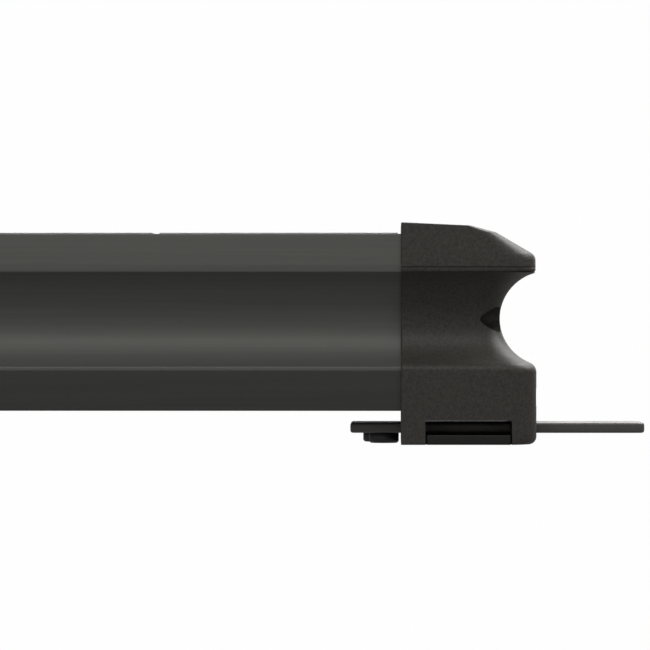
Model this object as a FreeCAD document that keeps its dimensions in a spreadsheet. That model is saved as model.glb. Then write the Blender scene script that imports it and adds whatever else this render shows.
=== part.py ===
# LED batten: a floor-standing or bolted strip light with sliding end brackets.
# Millimetres. +X along the batten, -Y the front, +Z up towards the light.
# Origin: middle of the batten, on the plane that the end caps stand on.
import FreeCAD, Part
import math
import os
import re
import Sketcher

V = FreeCAD.Vector
doc = FreeCAD.newDocument("led_batten")

# ---------------------------------------------------------------- driving sizes
SIZES = [
    # light window segments
    ("segment_pitch", 118, "one window, with its gap"),
    ("segment_count", 8, "windows in the row"),
    ("segment_gap", 3, "gap between two windows"),
    ("window_margin", 4.7, "side face to the window"),
    ("window_thick", 3, ""),
    ("window_proud", 0.6, "window above the housing"),
    ("window_play", 0.2, "window to its rebate, each side"),
    ("window_ledge", 3, "ledge the window is bedded on"),
    # upper housing and base, both aluminium extrusions
    ("housing_depth", 101, "front to back"),
    ("base_clear", 16.3, "underside above the floor"),
    ("base_tall", 19.2, "underside to the joint line"),
    ("waist_band", 2, "flat strip under the hollow sides"),
    ("waist_radius", 23.5, "radius of the hollow sides"),
    ("waist_offset", 5.7, "its centre outside the side face"),
    ("lip_tall", 3.1, "lip over the hollow sides"),
    ("facet_tall", 15.3, "top facet above the lip"),
    ("facet_lean", 2, "how far the top facet leans in"),
    ("profile_wall", 2.7, "thinnest wall, at the waist"),
    ("web_thick", 4, "plate that carries the boards"),
    ("trough_deep", 23.5, "housing top to the board deck"),
    ("deck_in", 13.5, "deck edge in from the side face"),
    ("trough_flare", 1, "trough widens below the lip top by this"),
    ("chamber_wall", 4.5, "wall beside the chamber at the joint line"),
    ("chamber_step", 0.5, "straight part above the joint line"),
    ("chamber_slope", 3.5, "top of the sloping part"),
    ("chamber_shelf", 10, "sloping part, across"),
    ("chamber_neck", 9, "where the chamber is narrowest, below the waist"),
    ("base_floor", 3, "floor of the base"),
    ("port_radius", 4, "outside of a screw port"),
    ("screw_pilot", 2.1, "hole in a screw port, radius"),
    ("waist_port_back", 4.2, "waist port centre behind the waist face"),
    ("base_port_in", 12.5, "base port in from the side face"),
    ("base_port_up", 6.5, "base port above the underside"),
    ("rib_count", 9, "ribs under the base"),
    ("rib_pitch", 8, ""),
    ("rib_groove", 4, "groove between two ribs"),
    ("rib_deep", 1.2, ""),
    # light engine
    ("lens_rows", 2, ""),
    ("lens_per_row", 3, "lenses along one segment"),
    ("row_margin", 1, "outer lenses to the tray edge"),
    ("lens_foot", 6, "radius at the bottom"),
    ("lens_tall", 12.5, ""),
    ("lens_gap", 0.9, "half the least gap between two lenses"),
    ("lens_rim", 0.8, "rim around the mouth"),
    ("flange_thick", 1.6, ""),
    ("tray_in", 4.8, "tray narrower than the window, each side"),
    ("tray_thick", 2, ""),
    ("tray_down", 8.5, "underside of the tray below the housing top"),
    ("tray_play", 0.3, "lens to its hole"),
    ("tray_leg", 2.5, "leg radius"),
    ("tray_leg_in", 8, "leg in from the tray edge"),
    ("board_thick", 1.6, ""),
    ("board_play", 1, "board to the trough, each side"),
    ("emitter_side", 7, ""),
    ("emitter_tall", 2.6, ""),
    # end caps
    ("cap_length", 65.4, ""),
    ("cap_proud", 2, "cap outside the housing sides"),
    ("cap_crown", 5.6, "cap above the housing, beside the window"),
    ("cap_corner", 14, "corner radius seen from above, up to the foot of the bevel"),
    ("bevel_corner", 5, "the same at the upper end of the bevel"),
    ("plateau_corner", 2, "the same at the edge of the top"),
    ("cap_socket", 16, "how deep the profiles sit in"),
    ("socket_play", 0.2, ""),
    ("cap_waist_up", 0.4, "hollow of the cap above that of the housing"),
    ("cap_waist_less", 0.5, "its radius is smaller by this"),
    ("shoulder_radius", 5, "round below the waist"),
    ("foot_round", 3.8, "round at the outer bottom edge"),
    ("cap_lip_tall", 3.3, "height of the cap lip"),
    ("cap_lip_in", 0.4, "lip stands back from the base"),
    ("bevel_start_drop", 18.3, "where the end starts to lean, below the top"),
    ("bevel_low_drop", 14.6, "lower end of the bevel"),
    ("bevel_low_in", 2.5, "its place from the outer end"),
    ("bevel_high_drop", 4.7, "upper end of the bevel"),
    ("bevel_high_in", 19.8, ""),
    ("plateau_drop", 1.6, "edge of the gently sloping top"),
    ("plateau_in", 31.8, ""),
    ("cap_facet_lean", 3, "front facet leans in by this"),
    ("bore_radius", 6.1, "counterbore for a waist screw"),
    ("bore_floor", 30, "its floor from the inner edge"),
    ("screw_hole", 2.7, "clearance hole radius"),
    ("hollow_wall", 1.4, "hollow to the counterbores"),
    ("hollow_up", 4.5, "floor of the hollow above the joint line"),
    ("hollow_roof", 11.1, "its ceiling below the cap top"),
    ("hollow_end", 41, "from the inner edge"),
    ("gasket_thick", 1.5, ""),
    ("gasket_in", 0.3, "gasket smaller than the profiles, all round"),
    ("base_bore", 4.8, "counterbore for a base screw"),
    ("cap_head", 4.6, "radius of a waist screw head"),
    ("base_head", 4.2, ""),
    ("head_tall", 4, ""),
    ("screw_grip", 12, "screw thread in the profile"),
    ("small_pilot", 1.6, "pilot for the small screws"),
    ("small_head", 3.4, ""),
    ("small_head_tall", 2, ""),
    # bracket channel and keeper plate
    ("channel_low", 4.7, "floor of the channel"),
    ("channel_head", 1.6, "bar to the ceiling of the channel"),
    ("channel_play", 0.75, "bar to channel side"),
    ("keeper_shift", 0.2, "plate nearer the housing than the cap middle"),
    ("keeper_rim", 5.2, "cap wall beside the keeper plate"),
    ("keeper_step", 7.1, "tongue narrower than the plate, each side"),
    ("keeper_wall", 7.5, "cap wall in front of the wide part"),
    ("keeper_back", 1, "tongue behind the cap face"),
    ("keeper_play", 0.4, ""),
    ("keeper_screw_in", 3.5, "screws from the plate edge, along"),
    ("keeper_screw_back", 9, "screws from the plate edge, across"),
    ("keeper_pilot_deep", 8, "pilot above the channel floor"),
    ("screw_sunk", 0.5, "screw head below its surface"),
    ("head_play", 0.3, "small screw head to its recess"),
    ("shank_play", 0.2, "small screw shank to its hole"),
    ("display_play", 0.2, "display window to its opening"),
    # sliding bracket
    ("bar_tail", 16.4, "bar beyond the front foot"),
    ("bar_width", 40, ""),
    ("bar_thick", 5, ""),
    ("bar_lift", 0.3, "bar above the channel floor"),
    ("bar_reach", 53.4, "out of the cap, pulled out"),
    ("bar_corner_out", 5, "plan corner, outer end"),
    ("bar_corner_in", 2.5, "plan corner, inner end"),
    ("bar_edge", 1.2, "rounded long edges"),
    ("slot_half", 5.25, "half the slot width"),
    ("slot_length", 19, "end to end"),
    ("slot_pitch", 24.5, "centre to centre"),
    ("slot_end", 22.7, "outer slot centre to the bar end"),
    ("foot_radius", 7.3, "stop foot"),
    ("foot_spread", 24, "between the two feet"),
    ("foot_stagger", 3, "rear foot further in"),
    ("foot_stop", 1, "foot to cap, pulled out"),
    ("foot_chamfer", 1, ""),
    ("foot_screw", 2, "radius of the screw in a foot"),
    ("foot_screw_short", 0.7, "screw end below the bar face"),
    # rear connector panel
    ("panel_length", 236, ""),
    ("panel_back", 3.5, "panel face inside the side plane"),
    ("panel_wall", 2, ""),
    ("panel_cut", 27, "height of the opening behind it"),
    ("panel_ear", 12, "solid end of the panel"),
    ("panel_screw_in", 5, "its screw from the end"),
    ("panel_board_back", 3.5, "board behind the panel"),
    ("plug_spacing", 34, "between two connectors"),
    ("plug_end", 30, "outer connector from the panel end"),
    ("power_bore", 9.8, "power connector, radius"),
    ("data_bore", 8.3, "data connector, radius"),
    ("plug_deep", 14, "depth of a connector bore"),
    ("plug_rim", 2.8, "wall round a connector bore"),
    ("plug_flange", 2, "flange thickness"),
    ("plug_lap", 2, "flange over the panel"),
    ("plug_floor", 2.5, "wall behind a connector bore"),
    ("panel_lap", 2, "solid panel end over the housing"),
    ("panel_play", 0.1, "panel to the hollow side"),
    ("display_wide", 34, ""),
    ("display_high", 13, ""),
    ("display_up", 7, "above the panel middle"),
    ("button_radius", 3, ""),
    ("button_pitch", 11, ""),
    ("button_down", 9, "below the panel middle"),
    ("button_proud", 1.4, ""),
    ("button_play", 0.25, ""),
    ("button_gap", 0.05, "flange to the panel"),
    ("button_plate", 1, "flange thickness"),
    ("button_count", 4, ""),
    ("switch_side", 5.2, ""),
    ("switch_tall", 1.2, ""),
    ("panel_board_margin", 5.1, "board to the nearest connector"),
    ("panel_board_play", 0.4, "board to the opening, with its ledge"),
    ("button_flange", 4.2, "retaining flange radius"),
    # inside
    ("supply_length", 210, "power supply"),
    ("supply_play", 2.5, "supply to the screw ports"),
    ("supply_height", 36, ""),
    ("supply_shift", 5, "supply nearer the cap than the panel"),
    ("terminal_run", 18, "notch for the terminals"),
    ("terminal_in", 3, ""),
    ("terminal_long", 11, ""),
    ("terminal_tall", 9, ""),
    ("terminal_side", 4, ""),
    ("driver_length", 190, "driver board"),
    ("driver_play", 3.5, "driver board to the screw ports"),
    ("driver_screw_in", 6, "its screws from the ends"),
    ("driver_screw_side", 5, "its screws from the long edges"),
    ("driver_sets", 5, "coils, each with a capacitor"),
    ("coil_across", -7, ""),
    ("coil_radius", 6.5, ""),
    ("coil_tall", 9, ""),
    ("capacitor_across", 9, ""),
    ("capacitor_radius", 4.5, ""),
    ("capacitor_tall", 15, ""),
    ("standoff_radius", 3, ""),
    ("driver_head", 2.8, ""),
    ("driver_head_tall", 1.6, ""),
    ("standoff_tall", 6, ""),
    ("loom_radius", 3, ""),
    ("loom_end", 40, "loom stops short of the caps"),
    ("loom_play", 0.4, "loom to the web, and thickness of a tie"),
    ("loom_tie", 4, "width of a tie"),
    ("loom_ties", 7, ""),
    # cutting solids overshoot the faces they cut through
    ("cut_over", 1, ""),
]

sheet = doc.addObject("Spreadsheet::Sheet", "Sizes")
for row, (alias, value, note) in enumerate(SIZES, start=1):
    sheet.set(f"A{row}", alias)
    sheet.set(f"B{row}", str(value))
    sheet.set(f"C{row}", note)
    sheet.setAlias(f"B{row}", alias)

# ------------------------------------------------ places worked out from the sizes
PLACES = [
    # stack of heights
    ("joint_line", "Sizes.base_clear + Sizes.base_tall"),
    ("waist_rise", "sqrt(Sizes.waist_radius ^ 2 - Sizes.waist_offset ^ 2)"),
    ("waist_height", "joint_line + Sizes.waist_band + waist_rise"),
    ("lip_top", "waist_height + waist_rise + Sizes.lip_tall"),
    ("housing_top", "lip_top + Sizes.facet_tall"),
    ("board_deck", "housing_top - Sizes.trough_deep"),
    ("web_low", "board_deck - Sizes.web_thick"),
    ("window_seat", "housing_top + Sizes.window_proud - Sizes.window_thick"),
    ("tray_height", "housing_top - Sizes.tray_down"),
    ("emitter_z", "board_deck + Sizes.board_thick"),
    ("flange_z", "tray_height + Sizes.tray_thick"),
    ("inner_floor", "Sizes.base_clear + Sizes.base_floor"),
    ("base_port_z", "Sizes.base_clear + Sizes.base_port_up"),
    # along the batten
    ("cap_inner", "Sizes.segment_pitch * Sizes.segment_count / 2"),
    ("profile_end", "cap_inner + Sizes.cap_socket"),
    ("cap_outer", "cap_inner + Sizes.cap_length"),
    ("lens_step", "Sizes.segment_pitch / Sizes.lens_per_row"),
    # across the batten
    ("half_depth", "Sizes.housing_depth / 2"),
    ("cap_half", "half_depth + Sizes.cap_proud"),
    ("waist_axis", "half_depth + Sizes.waist_offset"),
    ("waist_half", "waist_axis - Sizes.waist_radius"),
    ("port_y", "waist_half - Sizes.waist_port_back"),
    ("base_port_y", "half_depth - Sizes.base_port_in"),
    ("chamber_half", "waist_half - Sizes.profile_wall"),
    ("deck_half", "half_depth - Sizes.deck_in"),
    ("board_width", "2 * (deck_half - Sizes.board_play)"),
    ("window_width", "Sizes.housing_depth - 2 * Sizes.window_margin"),
    ("rebate_half", "window_width / 2 + Sizes.window_play"),
    ("trough_half", "rebate_half - Sizes.window_ledge"),
    ("tray_width", "window_width - 2 * Sizes.tray_in"),
    ("row_pitch", "tray_width / 2 - Sizes.row_margin"),
    ("lens_flange", "min(row_pitch; lens_step) / 2 - Sizes.lens_gap"),
    ("lens_mouth", "lens_flange - Sizes.lens_rim"),
    # end caps
    ("cap_top", "housing_top + Sizes.cap_crown"),
    ("plateau_edge", "cap_top - Sizes.plateau_drop"),
    ("bevel_high", "cap_top - Sizes.bevel_high_drop"),
    ("bevel_low", "cap_top - Sizes.bevel_low_drop"),
    ("bevel_start", "cap_top - Sizes.bevel_start_drop"),
    ("plateau_reach", "Sizes.cap_length - Sizes.plateau_in"),
    ("bevel_high_reach", "Sizes.cap_length - Sizes.bevel_high_in"),
    ("bevel_low_reach", "Sizes.cap_length - Sizes.bevel_low_in"),
    ("cap_waist", "waist_height + Sizes.cap_waist_up"),
    ("cap_waist_radius", "Sizes.waist_radius - Sizes.cap_waist_less"),
    ("cap_lip_low", "lip_top - Sizes.cap_lip_tall"),
    ("hollow_half", "port_y - Sizes.bore_radius - Sizes.hollow_wall"),
    ("hollow_low", "joint_line + Sizes.hollow_up"),
    ("hollow_high", "cap_top - Sizes.hollow_roof"),
    # bracket, channel and keeper plate
    ("bar_low", "Sizes.channel_low + Sizes.bar_lift"),
    ("bar_out", "cap_outer + Sizes.bar_reach"),
    ("foot_x", "cap_inner - Sizes.foot_stop - Sizes.foot_radius"),
    ("bar_in", "foot_x - Sizes.bar_tail"),
    ("slot_x", "bar_out - Sizes.slot_end"),
    ("channel_half", "Sizes.bar_width / 2 + Sizes.channel_play"),
    ("channel_high", "bar_low + Sizes.bar_thick + Sizes.channel_head"),
    ("keeper_x", "cap_inner + Sizes.cap_length / 2 - Sizes.keeper_shift"),
    ("keeper_wide", "Sizes.cap_length - 2 * Sizes.keeper_rim"),
    ("keeper_tongue", "keeper_wide - 2 * Sizes.keeper_step"),
    ("keeper_half", "cap_half - Sizes.keeper_wall"),
    ("keeper_screw_x", "keeper_wide / 2 - Sizes.keeper_screw_in"),
    ("keeper_screw_y", "keeper_half - Sizes.keeper_screw_back"),
    # rear panel
    ("panel_face", "half_depth - Sizes.panel_back"),
    ("panel_inner", "panel_face - Sizes.panel_wall"),
    ("panel_board_y", "panel_inner - Sizes.panel_board_back"),
    ("panel_opening_half", "Sizes.panel_length / 2 - Sizes.panel_ear - Sizes.panel_lap"),
    ("panel_screw_x", "Sizes.panel_length / 2 - Sizes.panel_screw_in"),
    ("plug_out", "Sizes.panel_length / 2 - Sizes.plug_end"),
    ("plug_reach", "Sizes.power_bore + Sizes.plug_rim + Sizes.panel_board_margin"),
    ("panel_board_half", "plug_out - Sizes.plug_spacing - plug_reach"),
    # inside the chamber
    ("supply_width", "2 * (port_y - Sizes.port_radius - Sizes.supply_play)"),
    ("driver_width", "2 * (port_y - Sizes.port_radius - Sizes.driver_play)"),
    ("supply_place", "(cap_inner + Sizes.panel_length / 2) / 2 + Sizes.supply_shift"),
]

places = doc.addObject("Spreadsheet::Sheet", "Places")
SIZE_NAMES = {alias for alias, value, note in SIZES}
PLACE_NAMES = {alias for alias, formula in PLACES}


def qualified(expression):
    """Puts the name of its sheet before each size or place in an expression."""
    def with_sheet(match):
        word = match.group(0)
        if word in SIZE_NAMES:
            return "Sizes." + word
        if word in PLACE_NAMES:
            return "Places." + word
        return word
    return re.sub(r"[a-z][a-z_]+", with_sheet, str(expression))


for row, (alias, formula) in enumerate(PLACES, start=1):
    places.set(f"A{row}", alias)
    places.set(f"B{row}", "=" + formula)
    places.setAlias(f"B{row}", alias)
doc.recompute()


def size(alias):
    """The present value of a size or a place."""
    table = sheet if alias in SIZE_NAMES else places
    return float(table.get(alias))


# ---------------------------------------------------------------- drawing helpers
TO_X = FreeCAD.Rotation(V(0, 1, 0), 90)
TO_Y = FreeCAD.Rotation(V(1, 0, 0), -90)
UPRIGHT = FreeCAD.Rotation()


def bind(thing, **expressions):
    for name, expression in expressions.items():
        thing.setExpression(name, qualified(expression))
    return thing


def put(thing, x, y, z, turn=UPRIGHT):
    thing.Placement = FreeCAD.Placement(V(0, 0, 0), turn)
    for axis, expression in zip("xyz", (x, y, z)):
        thing.setExpression("Placement.Base." + axis, qualified(expression))
    return thing


def block(name, low, length, width, height):
    """A box from its lowest corner."""
    made = doc.addObject("Part::Box", name)
    bind(made, Length=length, Width=width, Height=height)
    return put(made, *low)


def rod(name, start, radius, length, turn=UPRIGHT):
    made = doc.addObject("Part::Cylinder", name)
    bind(made, Radius=radius, Height=length)
    return put(made, *start, turn)


def cone(name, start, low_radius, high_radius, height):
    made = doc.addObject("Part::Cone", name)
    bind(made, Radius1=low_radius, Radius2=high_radius, Height=height)
    return put(made, *start)


def joined(name, pieces):
    made = doc.addObject("Part::MultiFuse", name)
    made.Shapes = pieces
    made.Refine = True
    return made


def less(name, base, tools):
    """The base with every tool cut away."""
    made = doc.addObject("Part::Cut", name)
    made.Base = base
    made.Tool = tools[0] if len(tools) == 1 else joined(name + "_tools", tools)
    return made


def group(name, pieces):
    """Separate solids that share one node."""
    made = doc.addObject("Part::Compound", name)
    made.Links = pieces
    return made


def mirrored(name, source):
    """The same piece at the batten's other end."""
    made = doc.addObject("Part::Mirroring", name)
    made.Source = source
    made.Normal = V(1, 0, 0)
    made.Base = V(0, 0, 0)
    return made


# -------------------------------------------------------------- sketching helpers
def origin_plane(body, role):
    return next(f for f in body.Origin.OriginFeatures if f.Role == role)


def sketch_on(body, role, offset, name):
    sketch = body.newObject("Sketcher::SketchObject", name)
    sketch.AttachmentSupport = [(origin_plane(body, role), "")]
    sketch.MapMode = "FlatFace"
    sketch.setExpression("AttachmentOffset.Base.z", qualified(offset))
    return sketch


def pin_point(sketch, geometry, point, across, up):
    """Ties one point of a sketch to two expressions."""
    for kind, expression in (("DistanceX", across), ("DistanceY", up)):
        number = sketch.addConstraint(Sketcher.Constraint(kind, -1, 1, geometry, point, 1.0))
        sketch.setExpression(f"Constraints[{number}]", qualified(expression))


def outline(sketch, corners):
    """A closed outline whose corners are pairs of expressions."""
    first = sketch.GeometryCount
    count = len(corners)
    rough = [V(10 * math.cos(2 * math.pi * k / count), 10 * math.sin(2 * math.pi * k / count), 0)
             for k in range(count)]
    for k in range(count):
        sketch.addGeometry(Part.LineSegment(rough[k], rough[(k + 1) % count]))
    for k in range(count):
        follow = first + (k + 1) % count
        sketch.addConstraint(Sketcher.Constraint("Coincident", first + k, 2, follow, 1))
    for k, (across, up) in enumerate(corners):
        pin_point(sketch, first + k, 1, across, up)
    return sketch


def ring(sketch, across, up, radius):
    index = sketch.addGeometry(Part.Circle(V(1, 1, 0), V(0, 0, 1), 1.0))
    pin_point(sketch, index, 3, across, up)
    number = sketch.addConstraint(Sketcher.Constraint("Radius", index, 1.0))
    sketch.setExpression(f"Constraints[{number}]", qualified(radius))
    return sketch


def feature(body, kind, sketch, length, backwards=False):
    """A Pad or a Pocket, which must add to the body or take from it."""
    doc.recompute()
    before = body.Shape.Volume if body.Tip else 0.0
    made = body.newObject("PartDesign::" + kind, kind)
    made.Profile = sketch
    made.Reversed = backwards
    bind(made, Length=length)
    body.Tip = made
    doc.recompute()
    change = body.Shape.Volume - before
    if (change if kind == "Pad" else -change) < 0.01:
        raise RuntimeError(f"{body.Name}: {kind} of {sketch.Name} changed nothing")
    return made


def new_body(name):
    return doc.addObject("PartDesign::Body", name)


def both_sides(half):
    """The corners of an outline on +Y, repeated in mirror image on -Y."""
    return half + [(f"-({across})", up) for across, up in reversed(half)]


# ------------------------------------------------------------ housing extrusions
def upper_housing():
    """Aluminium extrusion: hollow sides, a trough for the light engine, a web, a chamber."""
    body = new_body("upper_housing")
    end, run = "profile_end", "2 * profile_end"
    section = outline(sketch_on(body, "YZ_Plane", end, "section"), both_sides([
        ("half_depth", "joint_line"),
        ("half_depth", "lip_top"),
        ("half_depth - facet_lean", "housing_top"),
    ]))
    feature(body, "Pad", section, run, backwards=True)
    hollows = sketch_on(body, "YZ_Plane", end, "hollow_sides")
    for side in ("", "-"):
        ring(hollows, side + "waist_axis", "waist_height", "waist_radius")
    feature(body, "Pocket", hollows, run)
    trough = outline(sketch_on(body, "YZ_Plane", end, "trough"), both_sides([
        ("deck_half", "board_deck"),
        ("trough_half", "lip_top - trough_flare"),
        ("trough_half", "window_seat"),
        ("rebate_half", "window_seat"),
        ("rebate_half", "housing_top + cut_over"),
    ]))
    feature(body, "Pocket", trough, run)
    chamber = outline(sketch_on(body, "YZ_Plane", end, "chamber"), both_sides([
        ("half_depth - chamber_wall", "joint_line - cut_over"),
        ("half_depth - chamber_wall", "joint_line + chamber_step"),
        ("chamber_half + chamber_shelf", "joint_line + chamber_slope"),
        ("chamber_half", "waist_height - chamber_neck"),
        ("chamber_half", "web_low"),
    ]))
    feature(body, "Pocket", chamber, run)
    ports = sketch_on(body, "YZ_Plane", end, "screw_ports")
    for side in ("", "-"):
        ring(ports, side + "port_y", "waist_height", "port_radius")
    feature(body, "Pad", ports, run, backwards=True)
    pilots = sketch_on(body, "YZ_Plane", end, "screw_pilots")
    for side in ("", "-"):
        ring(pilots, side + "port_y", "waist_height", "screw_pilot")
    feature(body, "Pocket", pilots, run)
    opening = outline(sketch_on(body, "XZ_Plane", "-half_depth", "panel_opening"), [
        ("-panel_opening_half", "waist_height - panel_cut / 2"),
        ("panel_opening_half", "waist_height - panel_cut / 2"),
        ("panel_opening_half", "waist_height + panel_cut / 2"),
        ("-panel_opening_half", "waist_height + panel_cut / 2"),
    ])
    feature(body, "Pocket", opening, "half_depth - hollow_half", backwards=True)
    panel_pilots = sketch_on(body, "XZ_Plane", "-half_depth", "panel_screw_pilots")
    for side in ("", "-"):
        ring(panel_pilots, side + "panel_screw_x", "waist_height", "small_pilot")
    feature(body, "Pocket", panel_pilots, "half_depth - chamber_half + cut_over", backwards=True)
    return body


def base_profile():
    """Aluminium extrusion: a shallow tray that closes the housing from below."""
    body = new_body("base_profile")
    end, run = "profile_end", "2 * profile_end"
    section = outline(sketch_on(body, "YZ_Plane", end, "section"), both_sides([
        ("half_depth", "base_clear"),
        ("half_depth", "joint_line"),
    ]))
    feature(body, "Pad", section, run, backwards=True)
    tray = outline(sketch_on(body, "YZ_Plane", end, "tray"), both_sides([
        ("half_depth - profile_wall", "inner_floor"),
        ("half_depth - profile_wall", "joint_line + cut_over"),
    ]))
    feature(body, "Pocket", tray, run)
    ports = sketch_on(body, "YZ_Plane", end, "screw_ports")
    for side in ("", "-"):
        ring(ports, side + "base_port_y", "base_port_z", "port_radius")
    feature(body, "Pad", ports, run, backwards=True)
    pilots = sketch_on(body, "YZ_Plane", end, "screw_pilots")
    for side in ("", "-"):
        ring(pilots, side + "base_port_y", "base_port_z", "screw_pilot")
    feature(body, "Pocket", pilots, run)
    ribs = sketch_on(body, "YZ_Plane", end, "ribs")
    count = int(size("rib_count"))
    for k in range(count):
        middle = f"{k - (count - 1) / 2} * rib_pitch"
        outline(ribs, [
            (f"{middle} - rib_groove / 2", "base_clear - cut_over"),
            (f"{middle} + rib_groove / 2", "base_clear - cut_over"),
            (f"{middle} + rib_groove / 2", "base_clear + rib_deep"),
            (f"{middle} - rib_groove / 2", "base_clear + rib_deep"),
        ])
    feature(body, "Pocket", ribs, run)
    return body


# -------------------------------------------------------------- the light engine
def segment_middle(k):
    return f"({k} + 0.5) * segment_pitch - cap_inner"


def window(k):
    """Frosted cover of one segment, bedded on the ledge of the housing."""
    return block(
        f"window_{k + 1}",
        (f"{k} * segment_pitch + segment_gap / 2 - cap_inner", "-window_width / 2", "window_seat"),
        "segment_pitch - segment_gap", "window_width", "window_thick",
    )


def led_board(k):
    return block(
        f"led_board_{k + 1}",
        (f"{k} * segment_pitch + segment_gap / 2 - cap_inner", "-board_width / 2", "board_deck"),
        "segment_pitch - segment_gap", "board_width", "board_thick",
    )


def lens_places(k):
    """Middle of each lens of one segment, as expressions."""
    rows, in_row = int(size("lens_rows")), int(size("lens_per_row"))
    for row in range(rows):
        for n in range(in_row):
            along = f"({k} * {in_row} + {n} + 0.5) * lens_step - cap_inner"
            across = f"{row - (rows - 1) / 2} * row_pitch"
            yield f"{row}_{n}", along, across


def lens_tray(k):
    """Moulded plate on four legs that holds the lenses of one segment."""
    name = f"lens_tray_{k + 1}"
    plate = block(
        name + "_plate",
        (f"{k} * segment_pitch + segment_gap / 2 - cap_inner", "-tray_width / 2", "tray_height"),
        "segment_pitch - segment_gap", "tray_width", "tray_thick",
    )
    legs = []
    for end in (-1, 1):
        for side in (-1, 1):
            along = f"{segment_middle(k)} + {end} * lens_step / 2"
            across = f"{side} * (tray_width / 2 - tray_leg_in)"
            legs.append(rod(f"{name}_leg", (along, across, "emitter_z"), "tray_leg",
                            "tray_height + tray_thick / 2 - emitter_z"))
    holes = [
        rod(f"{name}_hole", (x, y, "tray_height - cut_over"), "lens_mouth + tray_play",
            "tray_thick + 2 * cut_over")
        for spot, x, y in lens_places(k)
    ]
    return less(name, joined(name + "_body", [plate] + legs), holes)


def lenses():
    """Collimating lenses: a cone over each emitter, with a rim that rests on the tray."""
    made = []
    for k in range(int(size("segment_count"))):
        for spot, x, y in lens_places(k):
            name = f"lens_{k}_{spot}"
            rim = rod(name + "_rim", (x, y, "flange_z"), "lens_flange", "flange_thick")
            core = cone(name + "_core", (x, y, "flange_z - lens_tall"), "lens_foot",
                        "lens_mouth", "lens_tall")
            made.append(joined(name, [rim, core]))
    return group("lenses", made)


def emitters():
    made = []
    for k in range(int(size("segment_count"))):
        for spot, x, y in lens_places(k):
            made.append(block(
                f"emitter_{k}_{spot}",
                (f"{x} - emitter_side / 2", f"{y} - emitter_side / 2", "emitter_z"),
                "emitter_side", "emitter_side", "emitter_tall",
            ))
    return group("led_emitters", made)


# --------------------------------------------------------------------- end caps
def arc_points(centre, radius, start, stop, count):
    """Points along an arc given by angles in degrees, as (reach, height) pairs."""
    points = []
    for k in range(count + 1):
        angle = math.radians(start + (stop - start) * k / count)
        points.append((centre[0] + radius * math.cos(angle), centre[1] + radius * math.sin(angle)))
    return points


def waist_curves(side):
    """The shoulder and the hollow of a cap face that stands at the given reach."""
    shoulder = size("shoulder_radius")
    hollow = size("cap_waist_radius")
    middle = (side + size("waist_offset"), size("cap_waist"))
    across = size("waist_offset") + shoulder
    drop = math.sqrt((hollow + shoulder) ** 2 - across ** 2)
    turn = math.degrees(math.atan2(drop, across))
    shoulder_middle = (side - shoulder, middle[1] - drop)
    rise = size("cap_lip_low") - middle[1]
    lip_turn = math.degrees(math.asin(rise / hollow))
    shoulder_arc = arc_points(shoulder_middle, shoulder, 0, turn, 4)
    hollow_arc = arc_points(middle, hollow, 180 + turn, 180 - lip_turn, 12)
    return shoulder_arc, hollow_arc


def corner_radius(height):
    """Radius of the outer corners at one height: it closes up along the bevel."""
    bevel_low, bevel_high, plateau_edge = size("bevel_low"), size("bevel_high"), size("plateau_edge")
    cap_corner, bevel_corner = size("cap_corner"), size("bevel_corner")
    if height <= bevel_low:
        return cap_corner
    if height <= bevel_high:
        share = (height - bevel_low) / (bevel_high - bevel_low)
        return cap_corner + share * (bevel_corner - cap_corner)
    share = (height - bevel_high) / (plateau_edge - bevel_high)
    return bevel_corner + share * (size("plateau_corner") - bevel_corner)


def cap_section(height, reach, half):
    """Outline of the cap at one height: square at the housing, round at the outer corners."""
    corner = corner_radius(height)
    diagonal = corner * (1 - math.sqrt(0.5))
    inner = size("cap_inner")
    outer = inner + reach
    front_start, front_end = V(inner, -half, height), V(outer - corner, -half, height)
    end_start, end_end = V(outer, corner - half, height), V(outer, half - corner, height)
    back_start, back_end = V(outer - corner, half, height), V(inner, half, height)
    edges = [
        Part.LineSegment(front_start, front_end).toShape(),
        Part.Arc(front_end, V(outer - diagonal, diagonal - half, height), end_start).toShape(),
        Part.LineSegment(end_start, end_end).toShape(),
        Part.Arc(end_end, V(outer - diagonal, half - diagonal, height), back_start).toShape(),
        Part.LineSegment(back_start, back_end).toShape(),
        Part.LineSegment(back_end, front_start).toShape(),
    ]
    return Part.Wire(edges)


def cap_layer(levels, ruled):
    """Solid through the sections at the given (height, reach, half depth) levels."""
    return Part.makeLoft([cap_section(*level) for level in levels], True, ruled)


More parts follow.
